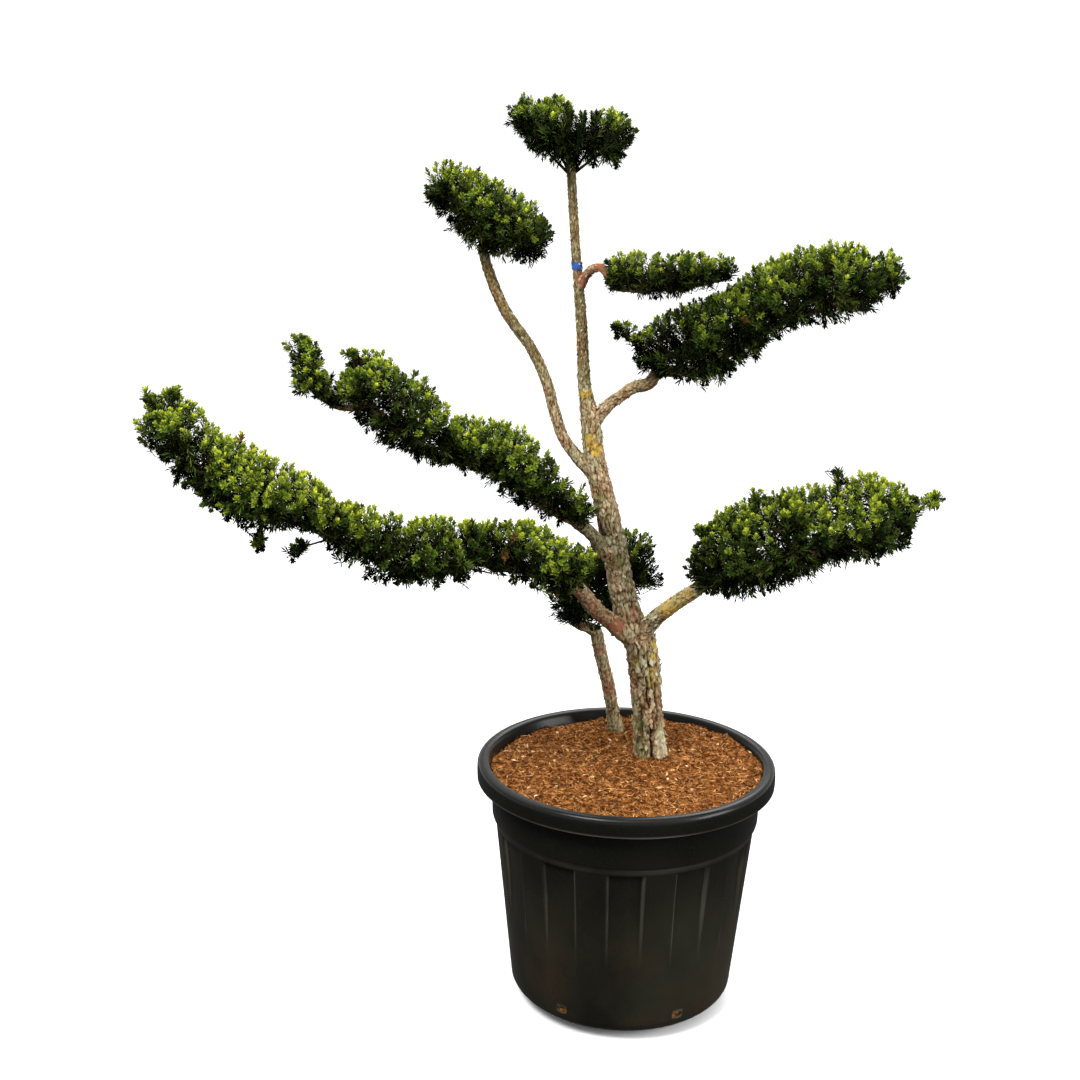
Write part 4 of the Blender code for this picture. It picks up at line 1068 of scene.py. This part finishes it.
def make_soil():
    made, tree, shader = material("potting_mix", 0.95, 0.05)
    coarse = texture(tree, "ShaderNodeTexNoise", 110.0, 8.0)
    colour = ramp(tree, coarse, [(0.34, (0.022, 0.006, 0.001)), (0.50, (0.180, 0.062, 0.014)),
                                 (0.72, (0.420, 0.190, 0.062))])
    tree.links.new(colour, shader.inputs["Base Color"])
    bump(tree, shader, coarse, 1.0, 0.003)
    heap = Heap()
    heap.add(*soil_bed())
    dress(heap.make("potting_mix_bed", made, smooth=True), "potting_mix", "root_ball")
    fibres = {
        "fibres_rust": ((0.330, 0.120, 0.028), 8500, (0.006, 0.020), (0.0010, 0.0022)),
        "fibres_brown": ((0.085, 0.024, 0.005), 6500, (0.006, 0.018), (0.0014, 0.0034)),
        "fibres_tan": ((0.600, 0.300, 0.105), 4800, (0.006, 0.022), (0.0008, 0.0018)),
        "chips_pale": ((0.720, 0.470, 0.250), 240, (0.006, 0.016), (0.0020, 0.0060)),
    }
    for name, (tone, count, length, width) in fibres.items():
        heap = Heap()
        heap.add(*blades(*fibre_rows(np.random.default_rng(len(name) * 31 + count), count, length, width)))
        dress(heap.make(name, speckled(name, tone, 0.9, 0.05, 70.0, 0.35)), "potting_mix")


def fibre_rows(rng, count, length, width):
    """Base, direction, upward side, length and width of fibres strewn over the potting mix."""
    radius = wall_radius(SOIL_LEVEL)
    reach = 0.99 * radius * np.sqrt(rng.uniform(size=count))
    angle = rng.uniform(0, 2 * math.pi, count)
    x, y = reach * np.cos(angle), reach * np.sin(angle)
    for foot in (TRUNK[0], LIMBS["second_stem"][0]):
        free = np.hypot(x - foot[0], y - foot[1]) > foot[3]
        x, y = x[free], y[free]
    z = np.array([soil_height(a, b) for a, b in zip(x, y)]) + rng.uniform(-0.0015, 0.0030, len(x))
    turn = rng.uniform(0, 2 * math.pi, len(x))
    pitch = rng.normal(0.05, 0.28, len(x))
    along = np.stack([np.cos(turn) * np.cos(pitch), np.sin(turn) * np.cos(pitch), np.sin(pitch)], axis=1)
    long = rng.uniform(*length, len(x))
    base = np.stack([x, y, z], axis=1) - along * (long / 2)[:, None]
    far = base + along * long[:, None]
    limit = np.array([wall_radius(height) for height in z]) - SOIL_CLEAR
    fits = (np.hypot(base[:, 0], base[:, 1]) < limit) & (np.hypot(far[:, 0], far[:, 1]) < limit)
    up = unit(rng.normal(0, 0.4, (len(x), 3)) + [0.0, 0.0, 1.0])
    return base[fits], along[fits], up[fits], long[fits], rng.uniform(*width, len(x))[fits]


def make_tie():
    """A strip of tape wound round the leader."""
    path = smooth_path(TRUNK, 0.0025)
    band = [row for row in path if abs(row[2] - TIE_HEIGHT) < 0.008]
    sides = 40
    corners = []
    for k, row in enumerate(band):
        for j in range(sides):
            angle = 2 * math.pi * j / sides
            r = row[3] + 0.0012 + 0.0006 * noise.noise(Vector((3 * math.cos(angle), 3 * math.sin(angle), k)))
            corners.append((row[0] + r * math.cos(angle), row[1] + r * math.sin(angle), row[2]))
    heap = Heap()
    heap.add(corners, ring_faces(len(band), sides))
    tape = speckled("blue_tape", (0.020, 0.085, 0.36), 0.45, 0.4, 160.0, 0.4)
    dress(heap.make("tie_tape", tape, smooth=True), "blue_tape", "tie_band")


def make_world():
    """Soft white light from above the horizon and little from below it."""
    world = bpy.data.worlds.new("studio")
    bpy.context.scene.world = world
    world.use_nodes = True
    tree = world.node_tree
    place = tree.nodes.new("ShaderNodeTexCoord")
    parts = tree.nodes.new("ShaderNodeSeparateXYZ")
    spread = tree.nodes.new("ShaderNodeMapRange")
    spread.inputs["From Min"].default_value = -0.10
    spread.inputs["From Max"].default_value = 0.90
    tree.links.new(place.outputs["Generated"], parts.inputs["Vector"])
    tree.links.new(parts.outputs["Z"], spread.inputs["Value"])
    light = ramp(tree, spread.outputs["Result"], SKY)
    tree.links.new(light, tree.nodes["Background"].inputs["Color"])
    tree.nodes["Background"].inputs["Strength"].default_value = SKY_STRENGTH


def make_stage():
    """A pale floor, soft light and the camera."""
    bpy.context.scene.view_settings.view_transform = "Standard"
    made, tree, shader = material("studio_floor", 0.9, 0.0)
    tree.links.new(ramp(tree, texture(tree, "ShaderNodeTexNoise", 2.0), [(0.3, 0.97), (0.7, 0.98)]),
                   shader.inputs["Base Color"])
    mesh = bpy.data.meshes.new("floor")
    size = 60.0
    mesh.from_pydata([(-size, -size, 0), (size, -size, 0), (size, size, 0), (-size, size, 0)], [], [(0, 1, 2, 3)])
    mesh.materials.append(made)
    floor = bpy.data.objects.new("floor", mesh)
    bpy.context.scene.collection.objects.link(floor)
    floor.visible_diffuse = False
    floor.visible_glossy = False
    make_world()
    lights = {
        "key": ((-1.6, -2.2, 3.8), 1.3, 170.0),
        "fill": ((3.0, -1.5, 1.5), 1.6, 90.0),
        "back": ((0.6, 2.6, 3.2), 2.0, 55.0),
    }
    target = Vector((-0.1, 0.0, 0.9))
    for name, (place, size, power) in lights.items():
        light = bpy.data.lights.new(name, "AREA")
        light.size = size
        light.energy = power
        lamp = bpy.data.objects.new(name, light)
        lamp.location = place
        lamp.rotation_euler = (target - Vector(place)).to_track_quat("-Z", "Y").to_euler()
        bpy.context.scene.collection.objects.link(lamp)
    lens = bpy.data.cameras.new("camera")
    lens.sensor_width = SENSOR
    lens.lens = SENSOR * FOCAL_PIXELS / FRAME_PIXELS
    camera = bpy.data.objects.new("camera", lens)
    aim = Matrix.Rotation(math.pi / 2 - CAMERA_TILT, 4, "X") @ Matrix.Rotation(CAMERA_ROLL, 4, "Z")
    camera.matrix_world = Matrix.Translation(CAMERA_PLACE) @ aim
    bpy.context.scene.collection.objects.link(camera)
    bpy.context.scene.camera = camera


make_pot()
make_soil()
make_foliage()
make_tie()
make_stage()
